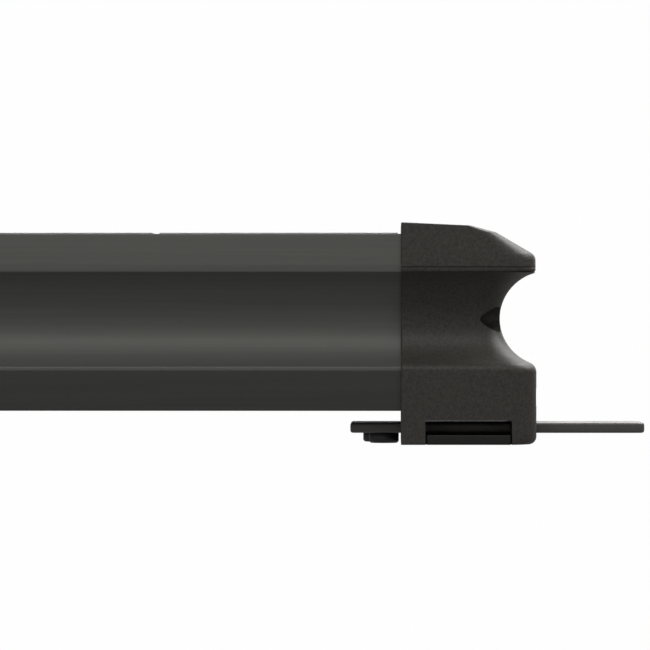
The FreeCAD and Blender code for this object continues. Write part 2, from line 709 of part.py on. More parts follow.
def cap_envelope():
    """Outer shape of the right cap: shoulder, hollow waist, lip, bevelled end, sloping top."""
    reach, half = size("cap_length"), size("cap_half")
    lip_reach = reach - size("cap_lip_in")
    lip_top = size("lip_top")
    lean = size("cap_facet_lean") / (size("plateau_edge") - lip_top)

    def leaned(height):
        return half - lean * max(0.0, height - lip_top)

    foot = size("foot_round")
    foot_arc = arc_points((reach - foot, foot), foot, -75, 0, 5)
    foot_arc[0] = (foot_arc[0][0], 0.0)
    shoulder, hollow = waist_curves(reach)
    front_shoulder, front_hollow = waist_curves(half)
    layers = [cap_layer([(z, x, half) for x, z in foot_arc], False)]
    layers.append(cap_layer([(foot, reach, half), (shoulder[0][1], reach, half)], True))
    for end_curve, front_curve in ((shoulder, front_shoulder), (hollow, front_hollow)):
        levels = [(z, x, y) for (x, z), (y, same) in zip(end_curve, front_curve)]
        layers.append(cap_layer(levels, False))
    lip_low = size("cap_lip_low")
    bevel_start, bevel_low = size("bevel_start"), size("bevel_low")
    layers.append(cap_layer([(lip_low, lip_reach, half), (lip_top, lip_reach, half)], True))
    straight = [lip_top, bevel_start]
    layers.append(cap_layer([(z, lip_reach, leaned(z)) for z in straight], True))
    low_reach, high_reach = size("bevel_low_reach"), size("bevel_high_reach")
    bevel_high, plateau_edge = size("bevel_high"), size("plateau_edge")
    slope = math.degrees(math.atan2(bevel_high - bevel_low, low_reach - high_reach))
    turn = 90 - slope
    nose = (bevel_low - bevel_start) / math.sin(math.radians(turn))
    nose_arc = arc_points((lip_reach - nose, bevel_start), nose, 0, turn, 5)
    nose_arc[-1] = (low_reach, bevel_low)
    layers.append(cap_layer([(z, x, leaned(z)) for x, z in nose_arc], False))
    bevel = [(bevel_low, low_reach), (bevel_high, high_reach), (plateau_edge, size("plateau_reach"))]
    for (low, low_x), (high, high_x) in zip(bevel, bevel[1:]):
        layers.append(cap_layer([(low, low_x, leaned(low)), (high, high_x, leaned(high))], True))
    crown = cap_section(plateau_edge, size("plateau_reach"), leaned(plateau_edge))
    crown_block = Part.Face(crown).extrude(V(0, 0, size("cap_top") - plateau_edge))
    inner, top = size("cap_inner"), size("cap_top")
    wedge_corners = [
        V(inner, -half, plateau_edge),
        V(inner + size("plateau_reach"), -half, plateau_edge),
        V(inner, -half, top),
    ]
    wedge = Part.Face(Part.makePolygon(wedge_corners + wedge_corners[:1])).extrude(V(0, 2 * half, 0))
    layers.append(crown_block.common(wedge))
    return layers[0].multiFuse(layers[1:]).removeSplitter()


def profile_face(x, grow):
    """End view of both extrusions together as a face, made larger all round by grow."""
    side = size("half_depth") + grow
    radius = size("waist_radius") - grow
    middle, axis = size("waist_height"), size("waist_axis")
    rise = math.sqrt(radius ** 2 - (axis - side) ** 2)
    low, high = size("base_clear") - grow, size("housing_top") + grow
    shoulder = size("half_depth") - size("facet_lean") + grow
    front = [V(x, -side, low), V(x, -side, middle - rise), V(x, radius - axis, middle),
             V(x, -side, middle + rise), V(x, -side, size("lip_top")), V(x, -shoulder, high)]
    back = [V(x, -p.y, p.z) for p in front]
    edges = []
    for side_points in (front, back):
        edges.append(Part.LineSegment(side_points[0], side_points[1]).toShape())
        edges.append(Part.Arc(side_points[1], side_points[2], side_points[3]).toShape())
        edges.append(Part.LineSegment(side_points[3], side_points[4]).toShape())
        edges.append(Part.LineSegment(side_points[4], side_points[5]).toShape())
    edges.append(Part.LineSegment(front[0], back[0]).toShape())
    edges.append(Part.LineSegment(front[5], back[5]).toShape())
    return Part.Face(Part.Wire(Part.__sortEdges__(edges)))


def shaped(name, shape):
    """A piece whose form no primitive gives, made in code from the sizes."""
    made = doc.addObject("Part::Feature", name)
    made.Shape = shape
    made.Placement = FreeCAD.Placement()
    return made


def cap_screw_places():
    """Name, place across, height, counterbore and head of the screws on one end."""
    for side in ("", "-"):
        mark = "back" if side == "" else "front"
        yield f"waist_{mark}", side + "port_y", "waist_height", "bore_radius", "cap_head"
        yield f"base_{mark}", side + "base_port_y", "base_port_z", "base_bore", "base_head"


def end_cap():
    """Hollow moulding that closes the profiles and guides the bracket."""
    over = size("cut_over")
    socket_run = size("cap_socket") + size("gasket_thick")
    socket = profile_face(size("cap_inner") - over, size("socket_play")).extrude(V(socket_run + over, 0, 0))
    tools = [
        shaped("cap_socket_space", socket),
        block("cap_hollow", ("profile_end", "-hollow_half", "hollow_low"),
              "hollow_end - cap_socket", "2 * hollow_half", "hollow_high - hollow_low"),
        block("bar_channel", ("cap_inner - cut_over", "-channel_half", "channel_low"),
              "cap_length + 2 * cut_over", "2 * channel_half", "channel_high - channel_low"),
        block("cross_channel",
              ("keeper_x - keeper_tongue / 2 - keeper_play", "-cap_half - cut_over", "-cut_over"),
              "keeper_tongue + 2 * keeper_play", "2 * (cap_half + cut_over)", "channel_high + cut_over"),
        block("keeper_recess",
              ("keeper_x - keeper_wide / 2 - keeper_play", "-keeper_half - keeper_play", "-cut_over"),
              "keeper_wide + 2 * keeper_play", "2 * (keeper_half + keeper_play)",
              "channel_low + cut_over"),
    ]
    for mark, y, z, bore, head in cap_screw_places():
        tools.append(rod(f"bore_{mark}", ("cap_inner + bore_floor", y, z), bore, "cap_length", TO_X))
        tools.append(rod(f"hole_{mark}", ("cap_inner", y, z), "screw_hole",
                         "bore_floor + cut_over", TO_X))
    for mark, x, y in keeper_screw_places():
        tools.append(rod(f"keeper_pilot_{mark}", (x, y, "channel_low - cut_over"),
                         "small_pilot", "keeper_pilot_deep + cut_over"))
    return less("end_cap_right", shaped("cap_envelope", cap_envelope()), tools)


def end_gasket():
    """Die-cut sheet between the profile ends and the cap."""
    sheet_shape = profile_face(size("profile_end"), -size("gasket_in")).extrude(V(size("gasket_thick"), 0, 0))
    tools = [block("gasket_window", ("profile_end - cut_over", "-hollow_half", "hollow_low"),
                   "gasket_thick + 2 * cut_over", "2 * hollow_half", "hollow_high - hollow_low")]
    for mark, y, z, bore, head in cap_screw_places():
        tools.append(rod(f"gasket_hole_{mark}", ("profile_end - cut_over", y, z), "screw_hole",
                         "gasket_thick + 2 * cut_over", TO_X))
    return less("end_gasket_right", shaped("gasket_sheet", sheet_shape), tools)


def hex_recess(name, start, radius, deep, turn=UPRIGHT):
    made = doc.addObject("Part::Prism", name)
    made.Polygon = 6
    bind(made, Circumradius=radius, Height=deep)
    return put(made, *start, turn)


def cap_screws():
    """Socket-head screws that hold both caps to the screw ports of the profiles."""
    right = []
    for mark, y, z, bore, head in cap_screw_places():
        name = f"cap_screw_{mark}"
        shank_start = "profile_end - screw_grip"
        shank_run = "bore_floor - cap_socket + screw_grip + head_tall / 4"
        shank = rod(name + "_shank", (shank_start, y, z), "screw_pilot", shank_run, TO_X)
        top = rod(name + "_head", ("cap_inner + bore_floor", y, z), head, "head_tall", TO_X)
        recess = hex_recess(name + "_recess", ("cap_inner + bore_floor + head_tall / 2", y, z),
                            f"{head} / 2", "head_tall", TO_X)
        right.append(less(name, joined(name + "_blank", [shank, top]), [recess]))
    right_group = group("cap_screws_right_end", right)
    return group("cap_screws", [right_group, mirrored("cap_screws_left_end", right_group)])


# ---------------------------------------------------------------- keeper plates
def keeper_screw_places():
    for along in (-1, 1):
        for across in (-1, 1):
            mark = ("in" if along < 0 else "out") + ("front" if across < 0 else "back")
            yield mark, f"keeper_x + {along} * keeper_screw_x", f"{across} * keeper_screw_y"


def keeper_plate():
    """Plate under the cap that closes the bracket channel from below."""
    wide = block("keeper_wide_part", ("keeper_x - keeper_wide / 2", "-keeper_half", "0"),
                 "keeper_wide", "2 * keeper_half", "channel_low")
    tongue = block("keeper_tongue_part",
                   ("keeper_x - keeper_tongue / 2", "-(cap_half - keeper_back)", "0"),
                   "keeper_tongue", "2 * (cap_half - keeper_back)", "channel_low")
    tools = []
    for mark, x, y in keeper_screw_places():
        tools.append(rod(f"keeper_hole_{mark}", (x, y, "-cut_over"),
                         "small_pilot + shank_play", "channel_low + 2 * cut_over"))
        tools.append(rod(f"keeper_sink_{mark}", (x, y, "-cut_over"),
                         "small_head + head_play", "small_head_tall + screw_sunk + cut_over"))
    return less("keeper_plate_right", joined("keeper_blank", [wide, tongue]), tools)


def keeper_screws():
    right = []
    for mark, x, y in keeper_screw_places():
        name = f"keeper_screw_{mark}"
        top = rod(name + "_head", (x, y, "screw_sunk"), "small_head", "small_head_tall")
        shank = rod(name + "_shank", (x, y, "screw_sunk"), "small_pilot",
                    "channel_low + keeper_pilot_deep - cut_over")
        recess = hex_recess(name + "_recess", (x, y, "-screw_sunk"), "small_head / 2",
                            "small_head_tall")
        right.append(less(name, joined(name + "_blank", [top, shank]), [recess]))
    right_group = group("keeper_screws_right_end", right)
    return group("keeper_screws", [right_group, mirrored("keeper_screws_left_end", right_group)])


# -------------------------------------------------------------- sliding bracket
def edges_where(shape, test):
    return [f"Edge{k}" for k, edge in enumerate(shape.Edges, start=1) if test(edge)]


def rounded(body, edge_names, radius):
    base = body.Tip
    made = body.newObject("PartDesign::Fillet", "Fillet")
    made.Base = (base, edge_names)
    bind(made, Radius=radius)
    body.Tip = made
    doc.recompute()
    return made


def bracket_bar():
    """Flat steel bar with two bolt slots at its outer end."""
    body = new_body("bracket_bar_right")
    plan = outline(sketch_on(body, "XY_Plane", "bar_low", "plan"), [
        ("bar_in", "-bar_width / 2"),
        ("bar_out", "-bar_width / 2"),
        ("bar_out", "bar_width / 2"),
        ("bar_in", "bar_width / 2"),
    ])
    feature(body, "Pad", plan, "bar_thick")
    doc.recompute()
    for place, radius in (("bar_out", "bar_corner_out"), ("bar_in", "bar_corner_in")):
        upright = edges_where(body.Tip.Shape, lambda e: e.BoundBox.ZLength > 1
                              and abs(e.BoundBox.XMin - size(place)) < 0.01)
        rounded(body, upright, radius)
    rim = edges_where(body.Tip.Shape, lambda e: e.BoundBox.ZLength < 0.01)
    rounded(body, rim, "bar_edge")
    slots = sketch_on(body, "XY_Plane", "bar_low + bar_thick", "slots")
    slot_ends = sketch_on(body, "XY_Plane", "bar_low + bar_thick", "slot_ends")
    for k in range(2):
        middle = f"slot_x - {k} * slot_pitch"
        straight = "(slot_length / 2 - slot_half)"
        outline(slots, [
            (f"{middle} - {straight}", "-slot_half"),
            (f"{middle} + {straight}", "-slot_half"),
            (f"{middle} + {straight}", "slot_half"),
            (f"{middle} - {straight}", "slot_half"),
        ])
        ring(slot_ends, f"{middle} - {straight}", "0", "slot_half")
        ring(slot_ends, f"{middle} + {straight}", "0", "slot_half")
    feature(body, "Pocket", slots, "bar_thick + cut_over")
    feature(body, "Pocket", slot_ends, "bar_thick + cut_over")
    taps = sketch_on(body, "XY_Plane", "bar_low + bar_thick", "foot_screw_holes")
    for mark, x, y in foot_places():
        ring(taps, x, y, "foot_screw")
    feature(body, "Pocket", taps, "bar_thick + cut_over")
    return body


def foot_places():
    yield "front", "foot_x", "-foot_spread / 2"
    yield "rear", "foot_x - foot_stagger", "foot_spread / 2"


def bracket_feet():
    """Two round feet that carry the inner end and stop the bar at the cap."""
    feet = []
    for mark, x, y in foot_places():
        name = f"foot_{mark}"
        low = cone(name + "_low", (x, y, "0"), "foot_radius - foot_chamfer", "foot_radius",
                   "foot_chamfer")
        high = rod(name + "_high", (x, y, "foot_chamfer"), "foot_radius", "bar_low - foot_chamfer")
        sink = rod(name + "_sink", (x, y, "-cut_over"), "small_head + head_play",
                   "small_head_tall + screw_sunk + cut_over")
        hole = rod(name + "_hole", (x, y, "-cut_over"), "foot_screw + shank_play",
                   "bar_low + 2 * cut_over")
        feet.append(less(name, joined(name + "_blank", [low, high]), [sink, hole]))
    return group("bracket_feet_right", feet)


def foot_screws():
    screws = []
    for mark, x, y in foot_places():
        name = f"foot_screw_{mark}"
        top = rod(name + "_head", (x, y, "screw_sunk"), "small_head", "small_head_tall")
        shank = rod(name + "_shank", (x, y, "screw_sunk"), "foot_screw",
                    "bar_low + bar_thick - screw_sunk - foot_screw_short")
        recess = hex_recess(name + "_recess", (x, y, "-screw_sunk"), "small_head / 2",
                            "small_head_tall")
        screws.append(less(name, joined(name + "_blank", [top, shank]), [recess]))
    return group("foot_screws_right", screws)


# --------------------------------------------------------- rear connector panel
def plug_places():
    """Name, place along the batten and bore of each connector."""
    yield "power_inlet", "-plug_out", "power_bore"
    yield "power_outlet", "-(plug_out - plug_spacing)", "power_bore"
    yield "data_inlet", "plug_out - plug_spacing", "data_bore"
    yield "data_outlet", "plug_out", "data_bore"


def button_middle(k):
    return f"({k} - (button_count - 1) / 2) * button_pitch"


def rear_panel():
    """Moulded cover that fills the rear hollow and carries connectors, display and buttons."""
    outer = doc.addObject("Part::Common", "panel_outer")
    outer.Base = rod("panel_round", ("-panel_length / 2", "waist_axis", "waist_height"),
                     "waist_radius - panel_play", "panel_length", TO_X)
    outer.Tool = block("panel_slab", ("-panel_length / 2", "0", "base_clear"),
                       "panel_length", "panel_face", "housing_top - base_clear")
    inner = doc.addObject("Part::Common", "panel_inner_space")
    inner_run = "panel_length - 2 * panel_ear"
    inner.Base = rod("panel_inner_round", ("panel_ear - panel_length / 2", "waist_axis", "waist_height"),
                     "waist_radius - panel_play - panel_wall", inner_run, TO_X)
    inner.Tool = block("panel_inner_slab", ("panel_ear - panel_length / 2", "0", "base_clear"),
                       inner_run, "panel_inner", "housing_top - base_clear")
    tools = [inner]
    tools.append(block("panel_back_opening",
                       ("panel_ear - panel_length / 2", "0", "waist_height - panel_cut / 2 + cut_over"),
                       inner_run, "panel_inner", "panel_cut - 2 * cut_over"))
    for name, x, bore in plug_places():
        tools.append(rod(f"{name}_hole", (x, "waist_half", "waist_height"),
                         f"{bore} + plug_rim + shank_play", "half_depth", TO_Y))
    tools.append(block("display_hole",
                       ("-display_wide / 2", "panel_inner - cut_over",
                        "waist_height + display_up - display_high / 2"),
                       "display_wide", "panel_wall + 2 * cut_over", "display_high"))
    for k in range(int(size("button_count"))):
        tools.append(rod(f"button_hole_{k + 1}",
                         (button_middle(k), "panel_inner - cut_over", "waist_height - button_down"),
                         "button_radius + button_play", "panel_wall + 2 * cut_over", TO_Y))
    for mark, side in (("left", "-"), ("right", "")):
        spot = f"{side}panel_screw_x"
        tools.append(rod(f"panel_screw_hole_{mark}", (spot, "waist_half - cut_over", "waist_height"),
                         "small_pilot + shank_play", "half_depth", TO_Y))
        tools.append(rod(f"panel_screw_sink_{mark}",
                         (spot, "panel_face - small_head_tall - screw_sunk", "waist_height"),
                         "small_head + head_play", "half_depth", TO_Y))
    return less("rear_panel", outer, tools)


def panel_screws():
    made = []
    for mark, side in (("left", "-"), ("right", "")):
        spot = f"{side}panel_screw_x"
        name = f"panel_screw_{mark}"
        top = rod(name + "_head", (spot, "panel_face - small_head_tall - screw_sunk", "waist_height"),
                  "small_head", "small_head_tall", TO_Y)
        shank = rod(name + "_shank", (spot, "chamber_half", "waist_height"), "small_pilot",
                    "panel_face - small_head_tall - chamber_half", TO_Y)
        recess = hex_recess(name + "_recess",
                            (spot, "panel_face - small_head_tall / 2 - screw_sunk", "waist_height"),
                            "small_head / 2", "small_head_tall", TO_Y)
        made.append(less(name, joined(name + "_blank", [top, shank]), [recess]))
    return group("panel_screws", made)


def connector(name, x, bore):
    """Panel socket: a flange, a barrel closed at the back, and a plain bore for the plug."""
    back = "panel_face + plug_flange - plug_deep - plug_floor"
    barrel = rod(name + "_barrel", (x, back, "waist_height"), f"{bore} + plug_rim",
                 "plug_deep + plug_floor", TO_Y)
    flange = rod(name + "_flange", (x, "panel_face", "waist_height"),
                 f"{bore} + plug_rim + plug_lap", "plug_flange", TO_Y)
    space = rod(name + "_bore", (x, "panel_face + plug_flange - plug_deep", "waist_height"), bore,
                "plug_deep + cut_over", TO_Y)
    return less(name, joined(name + "_blank", [barrel, flange]), [space])


def display_window():
    return block("display_window",
                 ("display_play - display_wide / 2", "panel_inner",
                  "waist_height + display_up - display_high / 2 + display_play"),
                 "display_wide - 2 * display_play", "panel_wall", "display_high - 2 * display_play")


def panel_board():
    """Control board behind the panel, with one switch under each button."""
    inset = "(cut_over + panel_board_play)"
    board = block("panel_board_plate", ("-panel_board_half", "panel_board_y - board_thick",
                                        f"waist_height - panel_cut / 2 + {inset}"),
                  "2 * panel_board_half", "board_thick", f"panel_cut - 2 * {inset}")
    switches = [
        block(f"switch_{k + 1}", (f"{button_middle(k)} - switch_side / 2", "panel_board_y",
                                  "waist_height - button_down - switch_side / 2"),
              "switch_side", "switch_tall", "switch_side")
        for k in range(int(size("button_count")))
    ]
    return joined("control_board", [board] + switches)


def menu_button(k):
    """Push button: a round cap on a retaining flange behind the panel."""
    name = f"menu_button_{k + 1}"
    height = "waist_height - button_down"
    flange_back = "panel_inner - button_gap - button_plate"
    flange = rod(name + "_flange", (button_middle(k), flange_back, height),
                 "button_flange", "button_plate", TO_Y)
    stem = rod(name + "_stem", (button_middle(k), flange_back, height), "button_radius",
               "button_plate + button_gap + panel_wall + button_proud", TO_Y)
    return joined(name, [flange, stem])


# ------------------------------------------------------------- inside the chamber
def power_supply():
    """Enclosed supply that stands on the floor of the base, with its terminal block."""
    low_x = "-supply_place - supply_length / 2"
    case = block("supply_case", (low_x, "-supply_width / 2", "inner_floor"),
                 "supply_length", "supply_width", "supply_height")
    middle = "inner_floor + supply_height / 2"
    notch = block("supply_notch", (low_x, "-supply_width / 2 - cut_over", middle),
                  "terminal_run", "supply_width + 2 * cut_over", "supply_height")
    terminals = block("supply_terminals",
                      (f"{low_x} + terminal_in", "terminal_side - supply_width / 2", middle),
                      "terminal_long", "supply_width - 2 * terminal_side", "terminal_tall")
    return joined("power_supply", [less("supply_body", case, [notch]), terminals])


def driver_corners():
    for along in (-1, 1):
        for across in (-1, 1):
            yield (f"{along}_{across}".replace("-", "m"),
                   f"supply_place + {along} * (driver_length / 2 - driver_screw_in)",
                   f"{across} * (driver_width / 2 - driver_screw_side)")


def driver_board():
    """LED driver board with coils and capacitors."""
    floor = "inner_floor + standoff_tall"
    plate = block("driver_plate", ("supply_place - driver_length / 2", "-driver_width / 2", floor),
                  "driver_length", "driver_width", "board_thick")
    parts = [plate]
    sets = int(size("driver_sets"))
    for k in range(sets):
        spot = f"supply_place + {k - (sets - 1) / 2} * driver_length / {sets + 1}"
        parts.append(rod(f"driver_coil_{k}", (spot, "coil_across", floor), "coil_radius",
                         "board_thick + coil_tall"))
        parts.append(rod(f"driver_capacitor_{k}", (spot, "capacitor_across", floor),
                         "capacitor_radius", "board_thick + capacitor_tall"))
    holes = [rod(f"driver_hole_{mark}", (x, y, f"{floor} - cut_over"), "small_pilot",
                 "board_thick + 2 * cut_over")
             for mark, x, y in driver_corners()]
    return less("driver_board", joined("driver_blank", parts), holes)


def driver_standoffs():
    return group("driver_standoffs", [
        rod(f"standoff_{mark}", (x, y, "inner_floor"), "standoff_radius", "standoff_tall")
        for mark, x, y in driver_corners()
    ])


def driver_screws():
    return group("driver_screws", [
        rod(f"driver_head_{mark}", (x, y, "inner_floor + standoff_tall + board_thick"),
            "driver_head", "driver_head_tall")
        for mark, x, y in driver_corners()
    ])


def wiring_loom():
    """Bundle that feeds the LED boards, tied along the underside of the web."""
    height = "web_low - loom_radius - loom_play"
    bundle = rod("loom_bundle", ("loom_end - cap_inner", "0", height),
                 "loom_radius", "2 * (cap_inner - loom_end)", TO_X)
    count = int(size("loom_ties"))
    ties = [
        rod(f"loom_tie_{k}", (f"{k - (count - 1) / 2} * segment_pitch", "0", height),
            "loom_radius + loom_play", "loom_tie", TO_X)
        for k in range(count)
    ]
    return joined("wiring_loom", [bundle] + ties)


# ---------------------------------------------------------------- the assembly
def everything():
    """Every sub-part; its name is the name of its node."""
    made = [upper_housing(), base_profile()]
    for k in range(int(size("segment_count"))):
        made += [window(k), lens_tray(k), led_board(k)]
    made += [lenses(), emitters()]
    for right in (end_cap(), end_gasket(), keeper_plate(), bracket_bar(), bracket_feet(), foot_screws()):
        made += [right, mirrored(right.Name.replace("_right", "_left"), right)]
    made += [cap_screws(), keeper_screws(), rear_panel(), panel_screws()]
    made += [connector(name, x, bore) for name, x, bore in plug_places()]
    made += [display_window(), panel_board()]
    made += [menu_button(k) for k in range(int(size("button_count")))]
    made += [power_supply(), driver_board(), driver_standoffs(), driver_screws(), wiring_loom()]
    return made


nodes = everything()
for node in nodes:
    node.Label = node.Name
doc.recompute()

for thing in doc.Objects:
    if "Invalid" in thing.State or "Error" in thing.State:
        raise RuntimeError(f"{thing.Name} did not build: {thing.State}")
for node in nodes:
    shape = node.Shape
    if shape.isNull() or not shape.isValid() or not shape.Solids:
        raise RuntimeError(f"{node.Label} has no valid solid")

os.makedirs("parts", exist_ok=True)
for node in nodes:
    node.Shape.exportStep(f"parts/{node.Label}.step")
print(len(nodes), "nodes")
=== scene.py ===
import math

import bmesh
import bpy
from mathutils import Matrix, Vector


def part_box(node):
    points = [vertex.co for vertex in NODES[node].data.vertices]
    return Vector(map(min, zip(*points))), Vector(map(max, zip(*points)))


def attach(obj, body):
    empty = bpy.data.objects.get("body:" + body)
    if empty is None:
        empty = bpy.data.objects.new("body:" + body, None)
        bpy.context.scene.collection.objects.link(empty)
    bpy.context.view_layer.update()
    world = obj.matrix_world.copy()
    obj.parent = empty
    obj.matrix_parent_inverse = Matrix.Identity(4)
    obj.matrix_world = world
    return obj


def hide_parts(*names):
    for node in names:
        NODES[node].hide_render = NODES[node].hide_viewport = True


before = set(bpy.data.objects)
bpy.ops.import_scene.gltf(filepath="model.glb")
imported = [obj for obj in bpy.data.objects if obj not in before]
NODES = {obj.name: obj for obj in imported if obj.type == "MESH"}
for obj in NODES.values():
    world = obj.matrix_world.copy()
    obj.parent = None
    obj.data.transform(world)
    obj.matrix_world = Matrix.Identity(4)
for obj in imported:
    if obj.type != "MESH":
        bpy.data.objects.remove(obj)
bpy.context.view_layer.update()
SCENE = bpy.context.scene
MM = 0.001

# ---------------------------------------------------------------- places from the CAD nodes, in mm
def box_mm(node):
    low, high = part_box(node)
    return low / MM, high / MM


CAP_LOW, CAP_HIGH = box_mm("end_cap_right")
HOUSING_LOW, HOUSING_HIGH = box_mm("upper_housing")
BASE_LOW, BASE_HIGH = box_mm("base_profile")
BAR_LOW, BAR_HIGH = box_mm("bracket_bar_right")
KEEPER_LOW, KEEPER_HIGH = box_mm("keeper_plate_right")
FEET_HIGH = box_mm("bracket_feet_right")[1]
WINDOW_LOW, WINDOW_HIGH = box_mm("window_1")
SEGMENT_PITCH = box_mm("window_2")[0].x - WINDOW_LOW.x
TRAY_LOW, TRAY_HIGH = box_mm("lens_tray_1")
BOARD_LOW, BOARD_HIGH = box_mm("led_board_1")
LENS_LOW, LENS_HIGH = box_mm("lenses")
EMITTER_LOW = box_mm("led_emitters")[0]
DISPLAY_LOW, DISPLAY_HIGH = box_mm("display_window")

# ---------------------------------------------------------------- sizes of the visible shapes, in mm
SEGMENTS, LENSES_ALONG = 8, 3
WAIST, WAIST_RADIUS, WAIST_OFFSET = 60.3, 23.5, 5.7
LIP_TOP, FACET_LEAN, WALL = 86.2, 2.0, 2.7
REBATE_HALF, TROUGH_HALF, DECK_HALF = 46.0, 43.0, 37.0
WINDOW_SEAT, BOARD_DECK, WEB_LOW = 99.1, 78.0, 74.0
CHAMBER_HALF, CHAMBER_DOWN, CHAMBER_OUT = 30.0, 9.0, 10.0
SKIRT_WALL, SKIRT_UP, SKIRT_STEP, BASE_FLOOR = 4.5, 3.5, 0.5, 3.0
RIBS, RIB_PITCH, RIB_GROOVE, RIB_DEEP = 9, 8.0, 4.0, 1.2
EASE = 0.6
MERGE, FLAT, CAP_CREASE = 0.002, math.radians(0.5), 28

CAP_CORNERS, CAP_RIM = (14.0, 7.0, 2.5), 1.0
FOOT_ROUND, FRONT_ROUND, SHOULDER = 3.8, 0.9, 5.0
CAP_WAIST, CAP_WAIST_RADIUS = 60.7, 23.0
CAP_LIP_LOW, CAP_LIP_IN, CAP_LEAN = 82.9, 0.4, 3.0
BEVEL_START = 88.8
BEVEL = [(92.5, 62.9), (102.4, 45.6), (105.5, 33.6)]
BEVEL_TURN = 60.2
LIP_ROUND = ((0.8, 0.1), (0.4, 0.5), (0.1, 1.0), (0.0, 1.5))
GROOVE_DOWN, GROOVE_WIDE, GROOVE_DEEP, GROOVE_SLOPE = 1.3, 0.9, 0.4, 0.2
SOCKET_PLAY = 0.2
# Cutters run past the faces they open, and no two that meet end in one plane.
CUT_OVER, CHANNEL_OVER, CROSS_BELOW, KEEPER_BELOW, CUT_MEET = 3.0, 4.0, 5.0, 4.0, 0.01
HOLLOW_START, HOLLOW_END, HOLLOW_HALF, HOLLOW_LOW, HOLLOW_HIGH = 5.0, 41.0, 21.0, 40.0, 96.0
SOCKET_END, CHANNEL_LOW, CHANNEL_HIGH, CHANNEL_HALF = 489.5, 4.7, 11.6, 20.75
TONGUE_HALF, WIDE_HALF, KEEPER_DEEP, KEEPER_PLAY = 20.4, 27.5, 45.0, 0.4
# Cap screws as (across, up, bore radius, head radius).
CAP_SCREWS = [(28.5, WAIST, 6.1, 4.6), (38.0, 22.8, 4.8, 4.2)]
BORE_FLOOR, BORE_LONG = 30.0, 60.0
SCREW_HOLE, HOLE_START, HOLE_LONG = 2.7, 10.0, 40.0
# Screws as (head height, shank radius, length under the head); the small ones share a head.
CAP_SCREW, SMALL_HEAD = (4.0, 2.1, 27.0), 3.4
KEEPER_SCREW, FOOT_SCREW, PANEL_SCREW = (2.0, 1.6, 9.0), (2.0, 2.0, 6.6), (2.0, 1.6, 14.0)
SINK_RADIUS, SINK_DEEP = 3.7, 2.5
KEEPER_SCREW_ALONG, KEEPER_SCREW_ACROSS, KEEPER_EDGE = 24.0, 36.0, 0.45

SLOT_HALF, SLOT_LENGTH, SLOT_PITCH, SLOT_END = 5.25, 19.0, 24.5, 22.7
BAR_CORNER_OUT, BAR_CORNER_IN, BAR_EDGE = 5.0, 2.5, 1.2
FOOT_RADIUS, FOOT_BORE, FOOT_RIBS, FOOT_RIB_DEEP = 7.3, 2.2, 40, 0.16
FOOT_PLACES = [(463.7, -12.0), (460.7, 12.0)]

WINDOW_GAP, LENS_ROW, LENS_HOLE = 3.0, 20.0, 18.3
WINDOW_EDGE, TRAY_EDGE, BOARD_EDGE, TRAY_THICK = 0.3, 0.3, 0.15, 2.0
LEG_FOOT, LEG_TOP, LEG_INTO, LEG_ALONG, LEG_ACROSS = 2.5, 2.2, 1.8, 19.67, 33.0
EMITTER_HALF, EMITTER_BODY = 3.5, 0.9

PLUG_FLANGE, PLUG_WALL, PLUG_RIM, PLUG_FLOOR = 2.0, 2.8, 4.8, 2.5
PIN_LOW, PIN_SHOULDER, PIN_TIP = 2.4, 9.0, 9.6
# Contacts as (number, radius of their ring, radius of each).
POWER_PINS, DATA_PINS = (3, 4.6, 1.3), (5, 4.2, 0.8)
BUTTON_RADIUS, BUTTON_FLANGE = 3.0, 1.0
DISPLAY_CORNER, DISPLAY_EDGE = 0.8, 0.25

# ---------------------------------------------------------------- camera, nearly level with the waist
VIEW_DISTANCE, VIEW_HEIGHT, AIM_INSIDE, VIEW_INSIDE = 2100.0, 57.6, 36.5, 4.0
FRAME_WIDTH, SENSOR = 312.0, 36.0

camera_data = bpy.data.cameras.new("camera")
camera_data.sensor_width = SENSOR
camera_data.lens = SENSOR * VIEW_DISTANCE / FRAME_WIDTH
camera_data.clip_end = 50
camera = bpy.data.objects.new("camera", camera_data)
camera.location = Vector((CAP_LOW.x - VIEW_INSIDE, CAP_LOW.y - VIEW_DISTANCE, VIEW_HEIGHT)) * MM
camera_turn = math.atan2(AIM_INSIDE - VIEW_INSIDE, VIEW_DISTANCE)
camera.rotation_euler = (math.radians(90), 0, camera_turn)
SCENE.collection.objects.link(camera)
SCENE.camera = camera
SCENE.view_settings.view_transform = "Standard"


# ---------------------------------------------------------------- materials
def linear(text):
    """Linear colour from an sRGB hex."""
    parts = [int(text[k:k + 2], 16) / 255 for k in (1, 3, 5)]
    return [p / 12.92 if p <= 0.04045 else ((p + 0.055) / 1.055) ** 2.4 for p in parts] + [1.0]


def add(tree, kind, inputs=None, **settings):
    """One node, with its settings, and its inputs given as values or links."""
    node = tree.nodes.new(kind)
    for name, value in settings.items():
        setattr(node, name, value)
    for key, value in (inputs or {}).items():
        if isinstance(value, bpy.types.NodeSocket):
            tree.links.new(value, node.inputs[key])
        else:
            node.inputs[key].default_value = value
    return node


